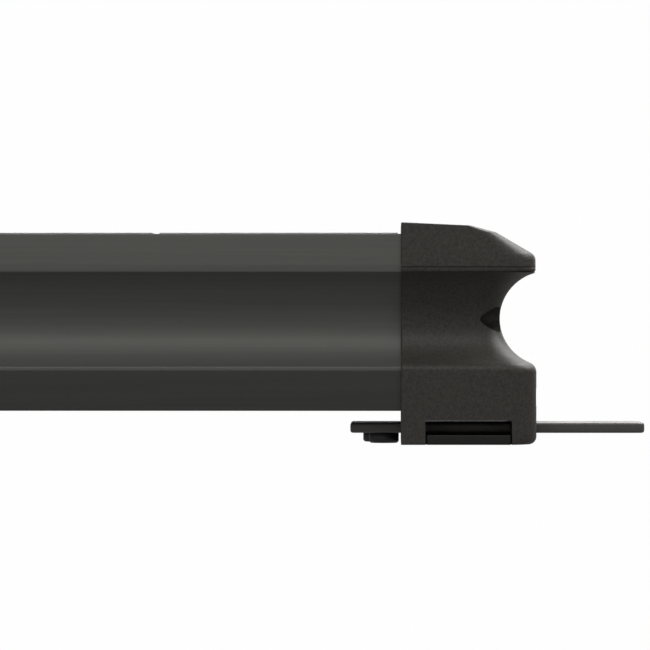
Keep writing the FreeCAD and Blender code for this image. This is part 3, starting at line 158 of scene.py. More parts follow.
def surface(name, tone, shade, rough, grain=0.8, stretch=(1, 1, 1), relief=0.02, spread=0.05, **direct):
    """A finish that varies between two tones, with a grain and relief in mm."""
    material = bpy.data.materials.new(name)
    material.use_nodes = True
    tree = material.node_tree
    tree.nodes.clear()
    place = add(tree, "ShaderNodeTexCoord").outputs["Object"]
    scale = [1 / (grain * MM * way) for way in stretch]
    mapped = add(tree, "ShaderNodeMapping", {"Vector": place, "Scale": scale})
    noise = add(tree, "ShaderNodeTexNoise", {"Vector": mapped.outputs[0], "Scale": 1.0, "Detail": 3.0})
    mixed = add(tree, "ShaderNodeMix", {0: noise.outputs[0], 6: linear(shade), 7: linear(tone)},
                data_type="RGBA")
    gloss = add(tree, "ShaderNodeMapRange", {"Value": noise.outputs[0], "To Min": rough - spread,
                                             "To Max": rough + spread})
    bump = add(tree, "ShaderNodeBump", {"Height": noise.outputs[0], "Distance": relief * MM,
                                        "Strength": 1.0})
    shader = add(tree, "ShaderNodeBsdfPrincipled", {
        "Base Color": mixed.outputs[2], "Roughness": gloss.outputs[0], "Normal": bump.outputs[0]})
    for socket, value in direct.items():
        shader.inputs[socket.replace("_", " ").title().replace("Ior", "IOR")].default_value = value
    add(tree, "ShaderNodeOutputMaterial", {"Surface": shader.outputs[0]})
    return material


# Extruded aluminium, satin grey anodised: a soft, nearly matt sheen. The die lines along the profile
# are drawn wider than real ones, so that they show.
LINES = dict(grain=1.6, stretch=(90, 1, 1), relief=0.004)
SATIN = dict(metallic=0.3, specular_ior_level=0.2)
HOUSING = surface("housing_anodised", "#6a6a66", "#5c5c59", 0.55, **SATIN, **LINES)
# The base extrusion, anodised. Its tone, darker than the housing's, is painted shade on the low faces.
BASE = surface("base_anodised", "#4a4a48", "#40403e", 0.55, **SATIN, **LINES)
# Cast metal under a bronze-black textured powder coat: a speckled, broken sheen. The texture is drawn
# coarser than a real one, so that it shows.
CAP = surface("cap_textured", "#52504b", "#272624", 0.45, grain=1.2, relief=0.1, specular_ior_level=0.2)
# Frosted acrylic sheet, lightly smoked: a plain grey pane that hides the lenses below it.
WINDOW = surface("window_smoked", "#b9bcbd", "#b1b4b5", 0.3, grain=2.0, relief=0.002, spread=0.01,
                 transmission_weight=0.92, ior=1.49)
# Clear moulded acrylic, polished: sharp highlights on the rims.
LENS = surface("lens_clear", "#f2f4f5", "#eceff0", 0.05, grain=6.0, relief=0.002, spread=0.02,
               transmission_weight=0.95, ior=1.49)
# Moulded black plastic, matt: it keeps the trough dark around the lenses.
TRAY = surface("tray_black", "#161617", "#121213", 0.6, grain=1.5)
# White solder mask over an aluminium board: even and slightly glossy.
BOARD = surface("board_white", "#dddcd6", "#d4d3cc", 0.45, grain=4.0, relief=0.005)
# Cast resin over the phosphor of an emitter: waxy yellow.
EMITTER = surface("emitter_resin", "#e0c25a", "#d8b94e", 0.25, grain=3.0, relief=0.002)
# Closed-cell rubber, moulded: dull black.
GASKET = surface("gasket_rubber", "#1a1a1b", "#151516", 0.7, grain=1.2)
# Steel plate with a satin powder coat: nearly black, with a low sheen.
KEEPER = surface("keeper_grey", "#1d1c1a", "#181716", 0.42, grain=1.0, relief=0.03, specular_ior_level=0.35)
# Steel bar with a textured dark powder coat: a dull sheen that picks out its rounded edges.
BAR = surface("bracket_black", "#5a5753", "#45423f", 0.42, grain=1.0, relief=0.05)
# Moulded black nylon: smooth, with a dull highlight on each rib.
FOOT = surface("foot_nylon", "#1b1b1d", "#171719", 0.35, grain=1.4, relief=0.01)
# Steel with black oxide: dark metal with small bright highlights.
SCREW = surface("screw_black", "#343436", "#2c2c2e", 0.32, grain=0.7, relief=0.006, metallic=0.85)
# Moulded black plastic with a fine texture: an even, dull panel.
PANEL = surface("panel_moulded", "#2b2b2c", "#262627", 0.52, grain=0.6, relief=0.02)
# Moulded black plastic, smoother than the panel: the sockets' rims stand out by their sheen.
PLUG = surface("connector_moulded", "#1d1e20", "#18191b", 0.4, grain=0.9, relief=0.01)
# Dark tinted acrylic, polished: a mirror-like black pane.
DISPLAY = surface("display_gloss", "#0c0e10", "#0a0b0d", 0.08, grain=8.0, relief=0.001, spread=0.02)
# Green solder mask over a glass-fibre board.
GREEN = surface("board_green", "#1e5a37", "#1a5030", 0.4, grain=3.0, relief=0.01)
# Moulded silicone rubber: a matt dark grey.
BUTTON = surface("button_rubber", "#39393b", "#333335", 0.62, grain=0.8, relief=0.01)
# Aluminium sheet with a mill finish: bright, with drawn-out rolling marks.
CASE = surface("supply_case", "#a4a6a8", "#9c9ea0", 0.35, grain=1.5, stretch=(12, 1, 1), relief=0.006,
               metallic=1.0)
# Plated steel: bright and smooth.
STEEL = surface("standoff_steel", "#b8b9ba", "#aeafb0", 0.3, grain=0.8, relief=0.004, metallic=1.0)
# Braided plastic sleeve: dull black with a coarse grain.
LOOM = surface("loom_sleeve", "#1c1c1e", "#131314", 0.65, grain=0.9, stretch=(0.6, 1, 1), relief=0.08)
# Turned brass: warm yellow metal.
BRASS = surface("contact_brass", "#c3a15a", "#b8964e", 0.28, grain=0.8, relief=0.003, metallic=1.0)


# ---------------------------------------------------------------- mesh helpers
def new_object(name, mesh):
    made = bpy.data.objects.new(name, mesh)
    SCENE.collection.objects.link(made)
    return made


def tidied(mesh, dissolve=False):
    """Merges doubled points and turns the faces outward."""
    work = bmesh.new()
    work.from_mesh(mesh)
    bmesh.ops.remove_doubles(work, verts=work.verts, dist=MERGE * MM)
    if dissolve:
        bmesh.ops.dissolve_limit(work, angle_limit=FLAT, verts=work.verts, edges=work.edges)
    bmesh.ops.recalc_face_normals(work, faces=work.faces)
    work.to_mesh(mesh)
    work.free()


def dressed(mesh, finish, crease):
    """One finish, smooth up to the crease angle."""
    mesh.materials.clear()
    mesh.materials.append(finish)
    mesh.shade_smooth()
    mesh.set_sharp_from_angle(angle=math.radians(crease))


def solid(name, points, faces, finish, crease=30):
    """A closed piece from points in mm."""
    mesh = bpy.data.meshes.new(name)
    mesh.from_pydata([Vector(p) * MM for p in points], [], faces)
    tidied(mesh)
    dressed(mesh, finish, crease)
    return new_object(name, mesh)


def stacked(name, rings, finish, crease=30):
    """A closed piece through rings of equally many points, with a flat face at each end."""
    count = len(rings[0])
    faces = [list(range(count)), [len(rings) * count - 1 - k for k in range(count)]]
    for level in range(len(rings) - 1):
        low, high = level * count, (level + 1) * count
        for k in range(count):
            follow = (k + 1) % count
            faces.append([low + k, low + follow, high + follow, high + k])
    return solid(name, [p for ring in rings for p in ring], faces, finish, crease)


def eased(corners, steps=4):
    """Closed outline with each (across, up, radius) corner rounded."""
    points = []
    count = len(corners)
    for k in range(count):
        here = Vector(corners[k][:2])
        back = Vector(corners[k - 1][:2]) - here
        ahead = Vector(corners[(k + 1) % count][:2]) - here
        turn = math.pi - back.angle(ahead)
        reach = corners[k][2] * math.tan(turn / 2)
        reach = min(reach, 0.45 * back.length, 0.45 * ahead.length)
        if reach < 0.01:
            points.append(here)
            continue
        start, end = here + back.normalized() * reach, here + ahead.normalized() * reach
        for n in range(steps + 1):
            t = n / steps
            points.append(start * (1 - t) ** 2 + here * 2 * t * (1 - t) + end * t ** 2)
    return points


def arc(middle, radius, start, stop, steps):
    """Points on an arc, its angles in degrees."""
    turns = [math.radians(start + (stop - start) * n / steps) for n in range(steps + 1)]
    return [(middle[0] + radius * math.cos(t), middle[1] + radius * math.sin(t)) for t in turns]


def lengthwise(name, outline, start, stop, finish, crease=25):
    """An outline in Y and Z drawn out along X."""
    return stacked(name, [[(x, y, z) for y, z in outline] for x in (start, stop)], finish, crease)


def turned(name, rings, finish, crease=35, sides=48):
    """A piece turned about Z: rings are (radius, height), and a radius may depend on the angle."""
    angles = [2 * math.pi * k / sides for k in range(sides)]
    shape = []
    for radius, z in rings:
        across = [radius(a) if callable(radius) else radius for a in angles]
        shape.append([(r * math.cos(a), r * math.sin(a), z) for r, a in zip(across, angles)])
    return stacked(name, shape, finish, crease)


def plate(name, outlines, low, high, edge, finish):
    """A flat plate: the first outline is its edge and the others are holes, all eased by edge."""
    curve = bpy.data.curves.new(name, "CURVE")
    curve.dimensions = "2D"
    curve.fill_mode = "BOTH"
    curve.extrude = ((high - low) / 2 - edge) * MM
    curve.bevel_depth = edge * MM
    curve.bevel_resolution = 2
    curve.offset = -edge * MM
    for outline in outlines:
        spline = curve.splines.new("POLY")
        spline.points.add(len(outline) - 1)
        for point, (x, y) in zip(spline.points, outline):
            point.co = (x * MM, y * MM, 0, 1)
        spline.use_cyclic_u = True
    holder = new_object(name, curve)
    mesh = bpy.data.meshes.new_from_object(holder.evaluated_get(bpy.context.evaluated_depsgraph_get()))
    bpy.data.objects.remove(holder)
    mesh.transform(Matrix.Translation((0, 0, (low + high) / 2 * MM)))
    tidied(mesh)
    dressed(mesh, finish, 35)
    return new_object(name, mesh)


def rectangle(x0, y0, x1, y1, radius):
    return eased([(x0, y0, radius), (x1, y0, radius), (x1, y1, radius), (x0, y1, radius)])


def circle(x, y, radius, sides=40):
    return [(x + radius * math.cos(2 * math.pi * k / sides), y + radius * math.sin(2 * math.pi * k / sides))
            for k in range(sides)]


def moved(piece, matrix):
    """Moves the points themselves, so the object stays at the origin."""
    piece.data.transform(matrix)
    if matrix.determinant() < 0:
        piece.data.flip_normals()
    return piece


def at(x, y, z):
    return Matrix.Translation(Vector((x, y, z)) * MM)


def mirror_of(piece, name):
    """The same piece at the batten's left end."""
    copy = new_object(name, piece.data.copy())
    return moved(copy, Matrix.Scale(-1, 4, (1, 0, 0)))


def joined(name, pieces):
    """One piece from several."""
    merged = bmesh.new()
    finishes = []
    for piece in pieces:
        start = len(merged.faces)
        merged.from_mesh(piece.data)
        merged.faces.ensure_lookup_table()
        finish = piece.data.materials[0]
        if finish not in finishes:
            finishes.append(finish)
        for face in merged.faces[start:]:
            face.material_index = finishes.index(finish)
    mesh = bpy.data.meshes.new(name)
    merged.to_mesh(mesh)
    merged.free()
    for finish in finishes:
        mesh.materials.append(finish)
    for piece in pieces:
        bpy.data.objects.remove(piece)
    return new_object(name, mesh)


def cut(piece, cutters):
    """The piece with each cutter taken away."""
    for cutter in cutters:
        step = piece.modifiers.new("cut", "BOOLEAN")
        step.operation = "DIFFERENCE"
        step.solver = "EXACT"
        step.object = cutter
    mesh = bpy.data.meshes.new_from_object(piece.evaluated_get(bpy.context.evaluated_depsgraph_get()))
    piece.modifiers.clear()
    finish = piece.data.materials[0]
    piece.data = mesh
    dressed(mesh, finish, CAP_CREASE)
    for cutter in cutters:
        bpy.data.objects.remove(cutter)
    return piece


def cuboid(name, low, high, finish):
    corners = [(low[0], low[1]), (high[0], low[1]), (high[0], high[1]), (low[0], high[1])]
    return stacked(name, [[(x, y, z) for x, y in corners] for z in (low[2], high[2])], finish)


def settle(piece, nodes, body="batten"):
    """Parents a finished piece to its body's empty and hides the CAD nodes it stands in for."""
    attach(piece, body)
    for node in nodes:
        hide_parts(node)


# ---------------------------------------------------------------- repeated pieces
def repeat_tree():
    """Geometry nodes: one source piece at every place, turned as the place says."""
    tree = bpy.data.node_groups.new("repeat_at_places", "GeometryNodeTree")
    for label, kind in (("Places", "Geometry"), ("Source", "Object"), ("Finish", "Material")):
        tree.interface.new_socket(label, in_out="INPUT", socket_type="NodeSocket" + kind)
    tree.interface.new_socket("Result", in_out="OUTPUT", socket_type="NodeSocketGeometry")
    given = add(tree, "NodeGroupInput").outputs
    source = add(tree, "GeometryNodeObjectInfo", {"Object": given["Source"], "As Instance": True})
    turn = add(tree, "GeometryNodeInputNamedAttribute", {"Name": "turn"}, data_type="FLOAT_VECTOR")
    placed = add(tree, "GeometryNodeInstanceOnPoints", {
        "Points": given["Places"], "Instance": source.outputs["Geometry"],
        "Rotation": turn.outputs[0]})
    real = add(tree, "GeometryNodeRealizeInstances", {0: placed.outputs[0]})
    coated = add(tree, "GeometryNodeSetMaterial", {
        "Geometry": real.outputs[0], "Material": given["Finish"]})
    add(tree, "NodeGroupOutput", {"Result": coated.outputs[0]})
    return tree


REPEAT = repeat_tree()


def repeated(name, source, places, finish):
    """The source at each (x, y, z, turn in degrees about X, Y and Z) place, as one plain mesh."""
    mesh = bpy.data.meshes.new(name)
    mesh.from_pydata([Vector(place[:3]) * MM for place in places], [], [])
    turns = mesh.attributes.new("turn", "FLOAT_VECTOR", "POINT")
    for item, place in zip(turns.data, places):
        item.vector = [math.radians(angle) for angle in place[3:]]
    holder = new_object(name, mesh)
    step = holder.modifiers.new("repeat", "NODES")
    step.node_group = REPEAT
    given = {"Source": source, "Finish": finish}
    for item in REPEAT.interface.items_tree:
        if item.name in given:
            step[item.identifier] = given[item.name]
    result = bpy.data.meshes.new_from_object(holder.evaluated_get(bpy.context.evaluated_depsgraph_get()))
    holder.modifiers.clear()
    holder.data = result
    bpy.data.objects.remove(source)
    return holder


def hexagon(radius):
    """Radius of a hexagon at each angle."""
    half = math.pi / 6
    return lambda a: radius * math.cos(half) / math.cos((a + half) % (math.pi / 3) - half)


def socket_screw(name, head, tall, shank, length):
    """Cylinder-head screw with a hexagon socket; its head stands on the origin."""
    edge = 0.35
    return turned(name, [
        (shank, -length), (shank, 0), (head - 0.1, 0), (head, 0.1), (head, tall - edge),
        (head - 0.3 * edge, tall - 0.3 * edge), (head - edge, tall),
        (hexagon(head * 0.52), tall), (hexagon(head * 0.5), tall - 0.25), (hexagon(head * 0.5), tall * 0.5),
    ], SCREW)


# ---------------------------------------------------------------- extrusions
def waist_arc(side, steps=32):
    """Hollow of one side, from the bottom up, as (across, up) for the +Y side."""
    drop = math.degrees(math.acos(WAIST_OFFSET / WAIST_RADIUS))
    return arc((side + WAIST_OFFSET, WAIST), WAIST_RADIUS, 180 + drop, 180 - drop, steps)


def side_outline(side, low, grow=0.0):
    """Front or rear face of the profiles from the height low to the window rebate."""
    points = waist_arc(side)
    hollow = [(y + grow, z, 0.0) for y, z in points]
    hollow[0] = (hollow[0][0], hollow[0][1], 1.4)
    hollow[-1] = (hollow[-1][0], hollow[-1][1], 0.8)
    return ([(side + grow, low, 0.35)] + hollow + [(side + grow, LIP_TOP, 0.9),
            (side - FACET_LEAN + grow, HOUSING_HIGH.z + grow, EASE)])


def mirrored_outline(half):
    """The +Y half of an outline and its mirror image, as one closed outline."""
    return half + [(-y, z, r) for y, z, r in reversed(half)]


def housing_shell():
    """Aluminium extrusion with the trough for the light engine and the chamber below it."""
    side, low = HOUSING_HIGH.y, HOUSING_LOW.z
    inner = [(CHAMBER_HALF, WEB_LOW, 1.0), (CHAMBER_HALF, WAIST - CHAMBER_DOWN, 2.0),
             (CHAMBER_HALF + CHAMBER_OUT, low + SKIRT_UP, 1.0), (side - SKIRT_WALL, low + SKIRT_STEP, 0.0),
             (side - SKIRT_WALL, low, 0.0)]
    outer = side_outline(side, low)
    top = [(REBATE_HALF, HOUSING_HIGH.z, 0.3), (REBATE_HALF, WINDOW_SEAT, 0.2),
           (TROUGH_HALF, WINDOW_SEAT, 0.3), (TROUGH_HALF, LIP_TOP - 1, 1.0), (DECK_HALF, BOARD_DECK, 1.0)]
    outline = eased(mirrored_outline(inner + outer + top))
    return lengthwise("housing_shell", outline, HOUSING_LOW.x, HOUSING_HIGH.x, HOUSING)


def base_tray():
    """Shallow extrusion that closes the housing from below, ribbed underneath."""
    side, low, high = BASE_HIGH.y, BASE_LOW.z, BASE_HIGH.z
    half = [(0.01, low + BASE_FLOOR, 0.0), (side - WALL, low + BASE_FLOOR, 1.5), (side - WALL, high, 0.2),
            (side, high, 0.35), (side, low, 0.7)]
    for k in range(RIBS // 2, -1, -1):
        middle, reach = k * RIB_PITCH, RIB_GROOVE / 2
        half.append((middle + reach, low, 0.2))
        half.append((middle + reach, low + RIB_DEEP, 0.2))
        if k:
            half.append((middle - reach, low + RIB_DEEP, 0.2))
            half.append((middle - reach, low, 0.2))
    outline = eased(mirrored_outline(half))
    return lengthwise("base_tray", outline, BASE_LOW.x, BASE_HIGH.x, BASE)


# ---------------------------------------------------------------- end caps
def cap_corner(z):
    """Radius of the outer corners at one height: it closes up along the bevel."""
    for (low, _), (high, _), wide, narrow in zip(BEVEL, BEVEL[1:], CAP_CORNERS, CAP_CORNERS[1:]):
        if z < high:
            return wide + (narrow - wide) * max(0.0, z - low) / (high - low)
    return CAP_CORNERS[-1]


def cap_plan(z, reach, half, inset=0.0):
    """Plan of the cap at one height: nearly square beside the housing, round at the outer corners."""
    left, right = CAP_LOW.x + inset, CAP_LOW.x + reach - inset
    side = half - inset
    rim, corner = CAP_RIM, cap_corner(z) - inset
    points = arc((left + rim, rim - side), rim, 180, 270, 4)
    points += arc((right - corner, corner - side), corner, 270, 360, 16)
    points += arc((right - corner, side - corner), corner, 0, 90, 16)
    points += arc((left + rim, side - rim), rim, 90, 180, 4)
    return points


def held(levels, gap=0.9):
    """Levels with a second one close to each end of every straight run, to keep its edges crisp."""
    result = [levels[0]]
    for low, high in zip(levels, levels[1:]):
        run = Vector(high) - Vector(low)
        if run.length > 4 * gap:
            result.append(Vector(low) + run.normalized() * gap)
            result.append(Vector(high) - run.normalized() * gap)
        result.append(high)
    return result


def cap_levels():
    """(height, reach, half depth) of the cap from its foot to the edge of its plateau."""
    reach, half = CAP_HIGH.x - CAP_LOW.x, CAP_HIGH.y
    levels = []
    for turn in range(0, 91, 10):
        z = FOOT_ROUND * (1 - math.cos(math.radians(turn)))
        rise = max(0.0, FRONT_ROUND - z)
        front = half - FRONT_ROUND + math.sqrt(FRONT_ROUND ** 2 - rise ** 2)
        levels.append((z, reach - FOOT_ROUND * (1 - math.sin(math.radians(turn))), front))
    across = WAIST_OFFSET + SHOULDER
    drop = math.sqrt((CAP_WAIST_RADIUS + SHOULDER) ** 2 - across ** 2)
    turn = math.degrees(math.atan2(drop, across))
    lip_turn = math.degrees(math.asin((CAP_LIP_LOW - CAP_WAIST) / CAP_WAIST_RADIUS))
    straight = [levels[-1], (CAP_WAIST - drop, reach, half)]
    levels += held(straight)[1:]
    for away, z in arc((-SHOULDER, CAP_WAIST - drop), SHOULDER, 0, turn, 8)[1:]:
        levels.append((z, reach + away, half + away))
    for away, z in arc((WAIST_OFFSET, CAP_WAIST), CAP_WAIST_RADIUS, 180 + turn, 180 - lip_turn, 26)[1:]:
        levels.append((z, reach + away, half + away))
    lip_reach = reach - CAP_LIP_IN
    lean = CAP_LEAN / (BEVEL[2][0] - LIP_TOP)
    for inside, up in LIP_ROUND:
        levels.append((CAP_LIP_LOW + up, lip_reach - inside, half - inside))
    groove = LIP_TOP - GROOVE_DOWN
    groove_top, groove_half = groove + GROOVE_WIDE, half - GROOVE_DEEP
    levels += [(groove, lip_reach, half), (groove + GROOVE_SLOPE, lip_reach, groove_half),
               (groove_top - GROOVE_SLOPE, lip_reach, groove_half), (groove_top, lip_reach, half),
               (LIP_TOP, lip_reach, half), (LIP_TOP + 0.9, lip_reach, half - 0.9 * lean)]
    nose = (BEVEL[0][0] - BEVEL_START) / math.sin(math.radians(BEVEL_TURN))
    for x, z in arc((lip_reach - nose, BEVEL_START), nose, 0, BEVEL_TURN, 8):
        levels.append((z, x, half - lean * (z - LIP_TOP)))
    slopes = [(z, x, half - lean * (z - LIP_TOP)) for z, x in BEVEL]
    levels += held([levels[-1]] + slopes[1:])[1:]
    return levels


def cap_top_at(x):
    """Height of the gently sloping top."""
    return CAP_HIGH.z - (CAP_HIGH.z - BEVEL[2][0]) * (x - CAP_LOW.x) / BEVEL[2][1]


def cap_cutters():
    """Everything that is open in a cap."""
    low, high = CAP_LOW, CAP_HIGH
    half = side_outline(HOUSING_HIGH.y, BASE_LOW.z - SOCKET_PLAY, SOCKET_PLAY)
    socket = [(y, z) for y, z, _ in mirrored_outline(half)]
    middle = keeper_middle()
    tongue, wide = TONGUE_HALF + KEEPER_PLAY, WIDE_HALF + KEEPER_PLAY
    deep = KEEPER_DEEP + KEEPER_PLAY
    cutters = [
        lengthwise("cut_socket", socket, low.x - CUT_OVER, SOCKET_END, CAP),
        cuboid("cut_channel", (low.x - CHANNEL_OVER, -CHANNEL_HALF, CHANNEL_LOW),
               (high.x + CUT_OVER, CHANNEL_HALF, CHANNEL_HIGH), CAP),
        cuboid("cut_cross", (middle - tongue, low.y - CUT_OVER, -CROSS_BELOW),
               (middle + tongue, high.y + CUT_OVER, CHANNEL_HIGH - CUT_MEET), CAP),
        cuboid("cut_keeper", (middle - wide, -deep, -KEEPER_BELOW),
               (middle + wide, deep, CHANNEL_LOW + CUT_MEET), CAP),
        cuboid("cut_hollow", (low.x + HOLLOW_START, -HOLLOW_HALF, HOLLOW_LOW),
               (low.x + HOLLOW_END, HOLLOW_HALF, HOLLOW_HIGH), CAP),
    ]
    lay = Matrix.Rotation(math.radians(90), 4, "Y")
    for across, z, bore, _ in CAP_SCREWS:
        for side in (-1, 1):
            for radius, start, length in ((bore, BORE_FLOOR, BORE_LONG), (SCREW_HOLE, HOLE_START, HOLE_LONG)):
                made = turned("cut_bore", [(radius, 0), (radius, length)], CAP)
                cutters.append(moved(made, at(low.x + start, side * across, z) @ lay))
    return cutters


def cap_shell():
    """Right cap with its shoulder, hollow, lip, bevelled end and all its openings."""
    rings = [[(x, y, z) for x, y in cap_plan(z, reach, half)] for z, reach, half in cap_levels()]
    edge, reach = BEVEL[2]
    half = CAP_HIGH.y - CAP_LEAN
    for inset, down in ((0.0, 0.6), (0.15, 0.15), (0.6, 0.0)):
        rings.append([(x, y, max(edge, cap_top_at(x) - down)) for x, y in cap_plan(edge, reach, half, inset)])
    shell = stacked("cap_shell_right", rings, CAP, CAP_CREASE)
    return cut(shell, cap_cutters())


def cap_screw_set():
    """Both caps' socket-head screws, heads outward."""
    places = {}
    for across, z, _, head in CAP_SCREWS:
        for side in (-1, 1):
            for end in (-1, 1):
                seat = end * (CAP_LOW.x + BORE_FLOOR)
                places.setdefault(head, []).append((seat, side * across, z, 0, 90 * end, 0))
    made = []
    for head, spots in places.items():
        source = socket_screw("screw_source", head, *CAP_SCREW)
        made.append(repeated(f"cap_screws_{len(made)}", source, spots, SCREW))
    return joined("cap_screw_set", made)


# ---------------------------------------------------------------- keeper plates and brackets
def keeper_middle():
    return (KEEPER_LOW.x + KEEPER_HIGH.x) / 2


def keeper_screw_spots():
    middle = keeper_middle()
    return [(middle + KEEPER_SCREW_ALONG * along, KEEPER_SCREW_ACROSS * across)
            for along in (-1, 1) for across in (-1, 1)]


def keeper_shape():
    """Plate that closes the bracket channel: a wide part and two visible tongues."""
    middle, tip = keeper_middle(), KEEPER_HIGH.y
    quarter = [(TONGUE_HALF, tip, 0.8), (TONGUE_HALF, KEEPER_DEEP, 0.6), (WIDE_HALF, KEEPER_DEEP, 1.5)]
    half = quarter + [(x, -y, r) for x, y, r in reversed(quarter)]
    whole = half + [(-x, y, r) for x, y, r in reversed(half)]
    outline = [(middle + p[0], p[1]) for p in eased(whole)]
    holes = [circle(x, y, SINK_RADIUS) for x, y in keeper_screw_spots()]
    return plate("keeper_shape_right", [outline] + holes, KEEPER_LOW.z, KEEPER_HIGH.z, KEEPER_EDGE, KEEPER)


def keeper_screw_set():
    source = socket_screw("screw_source", SMALL_HEAD, *KEEPER_SCREW)
    spots = [(end * x, y, SINK_DEEP, 180, 0, 0) for end in (-1, 1) for x, y in keeper_screw_spots()]
    return repeated("keeper_screw_set", source, spots, SCREW)


def slot_outline(x):
    """Bolt slot along the bar, round at both ends."""
    straight = SLOT_LENGTH / 2 - SLOT_HALF
    return (arc((x + straight, 0), SLOT_HALF, -90, 90, 16) + arc((x - straight, 0), SLOT_HALF, 90, 270, 16))


def bar_shape():
    """Flat bar with rounded edges and two bolt slots."""
    low, high = BAR_LOW, BAR_HIGH
    outline = eased([(low.x, low.y, BAR_CORNER_IN), (high.x, low.y, BAR_CORNER_OUT),
                     (high.x, high.y, BAR_CORNER_OUT), (low.x, high.y, BAR_CORNER_IN)], 8)
    outer = high.x - SLOT_END
    holes = [slot_outline(outer), slot_outline(outer - SLOT_PITCH)]
    return plate("bar_shape_right", [outline] + holes, low.z, high.z, BAR_EDGE, BAR)


def feet_shape():
    """Two moulded feet with fine upright ribs."""
    def ribbed(angle):
        return FOOT_RADIUS - FOOT_RIB_DEEP * (0.5 + 0.5 * math.cos(FOOT_RIBS * angle))
    top = FEET_HIGH.z
    made = []
    for number, (x, y) in enumerate(FOOT_PLACES):
        foot = turned(f"foot_{number}", [
            (FOOT_BORE, top), (FOOT_RADIUS - 0.3, top), (ribbed, top - 0.25), (ribbed, 1.0),
            (FOOT_RADIUS - 0.45, 0.35), (FOOT_RADIUS - 1.0, 0.0), (SINK_RADIUS, 0.0),
            (SINK_RADIUS, SINK_DEEP), (FOOT_BORE, SINK_DEEP)], FOOT, 50, 6 * FOOT_RIBS)
        made.append(moved(foot, at(x, y, 0)))
    return joined("feet_shape_right", made)


def foot_screw_set():
    source = socket_screw("screw_source", SMALL_HEAD, *FOOT_SCREW)
    spots = [(x, y, SINK_DEEP, 180, 0, 0) for x, y in FOOT_PLACES]
    return repeated("foot_screw_set_right", source, spots, SCREW)


# ---------------------------------------------------------------- light engine
def segment_shift(k):
    return k * SEGMENT_PITCH


def lens_spots(k):
    """Middles of the lenses of one segment."""
    pitch = SEGMENT_PITCH / LENSES_ALONG
    start = WINDOW_LOW.x - WINDOW_GAP / 2 + segment_shift(k)
    return [(start + (n + 0.5) * pitch, row * LENS_ROW) for row in (-1, 1) for n in range(LENSES_ALONG)]


def window_shape(k):
    shift = segment_shift(k)
    outline = rectangle(WINDOW_LOW.x + shift, WINDOW_LOW.y, WINDOW_HIGH.x + shift, WINDOW_HIGH.y, 1.5)
    return plate(f"window_shape_{k + 1}", [outline], WINDOW_LOW.z, WINDOW_HIGH.z, WINDOW_EDGE, WINDOW)


def tray_shape(k):
    """Moulded plate with a hole for each lens, on four legs."""
    shift = segment_shift(k)
    low_x, high_x = TRAY_LOW.x + shift, TRAY_HIGH.x + shift
    outline = rectangle(low_x, TRAY_LOW.y, high_x, TRAY_HIGH.y, 1.0)
    holes = [circle(x, y, LENS_HOLE) for x, y in lens_spots(k)]
    top = plate(f"tray_top_{k}", [outline] + holes, TRAY_HIGH.z - TRAY_THICK, TRAY_HIGH.z, TRAY_EDGE, TRAY)
    legs = []
    middle = (low_x + high_x) / 2
    for end in (-1, 1):
        for side in (-1, 1):
            leg = turned("leg", [(LEG_FOOT, TRAY_LOW.z), (LEG_TOP, TRAY_HIGH.z - LEG_INTO)], TRAY)
            legs.append(moved(leg, at(middle + end * LEG_ALONG, side * LEG_ACROSS, 0)))
    return joined(f"tray_shape_{k + 1}", [top] + legs)


def board_shape(k):
    shift = segment_shift(k)
    outline = rectangle(BOARD_LOW.x + shift, BOARD_LOW.y, BOARD_HIGH.x + shift, BOARD_HIGH.y, 1.0)
    return plate(f"board_shape_{k + 1}", [outline], BOARD_LOW.z, BOARD_HIGH.z, BOARD_EDGE, BOARD)


def lens_set():
    """Collimating lenses: a cone under a shallow dished face, with a rim."""
    tall, rim = LENS_HIGH.z - LENS_LOW.z, 1.6
    source = turned("lens_source", [
        (3.4, 0), (6.0, 0), (9.6, 3.2), (13.0, 6.6), (17.9, tall - rim), (18.7, tall - rim),
        (18.7, tall - 0.2), (18.5, tall), (17.2, tall), (14.0, tall - 0.5), (9.0, tall - 0.9),
        (4.0, tall - 1.1)], LENS)
    spots = [(x, y, LENS_LOW.z, 0, 0, 0) for k in range(SEGMENTS) for x, y in lens_spots(k)]
    return repeated("lens_set", source, spots, LENS)


def emitter_set():
    """LED packages: a square body under a low dome."""
    square = rectangle(-EMITTER_HALF, -EMITTER_HALF, EMITTER_HALF, EMITTER_HALF, 0.4)
    base = plate("emitter_base", [square], 0, EMITTER_BODY, 0.1, EMITTER)
    dome = turned("emitter_dome", [(3.1, 0.8), (3.1, 0.9), (2.9, 1.5), (2.3, 2.1), (1.4, 2.5), (0.5, 2.6)],
                  EMITTER, sides=24)
    source = joined("emitter_source", [base, dome])
    spots = [(x, y, EMITTER_LOW.z, 0, 0, 0) for k in range(SEGMENTS) for x, y in lens_spots(k)]
    return repeated("emitter_set", source, spots, EMITTER)


# ---------------------------------------------------------------- rear panel
FACE_BACK = Matrix.Rotation(math.radians(-90), 4, "X")


def smoothed(node, name, finish, crease=30):
    """A finished copy of a CAD node, merged and shaded by angle."""
    mesh = NODES[node].data.copy()
    tidied(mesh, dissolve=True)
    for layer in list(mesh.attributes):
        if layer.name == "custom_normal":
            mesh.attributes.remove(layer)
    dressed(mesh, finish, crease)
    return new_object(name, mesh)


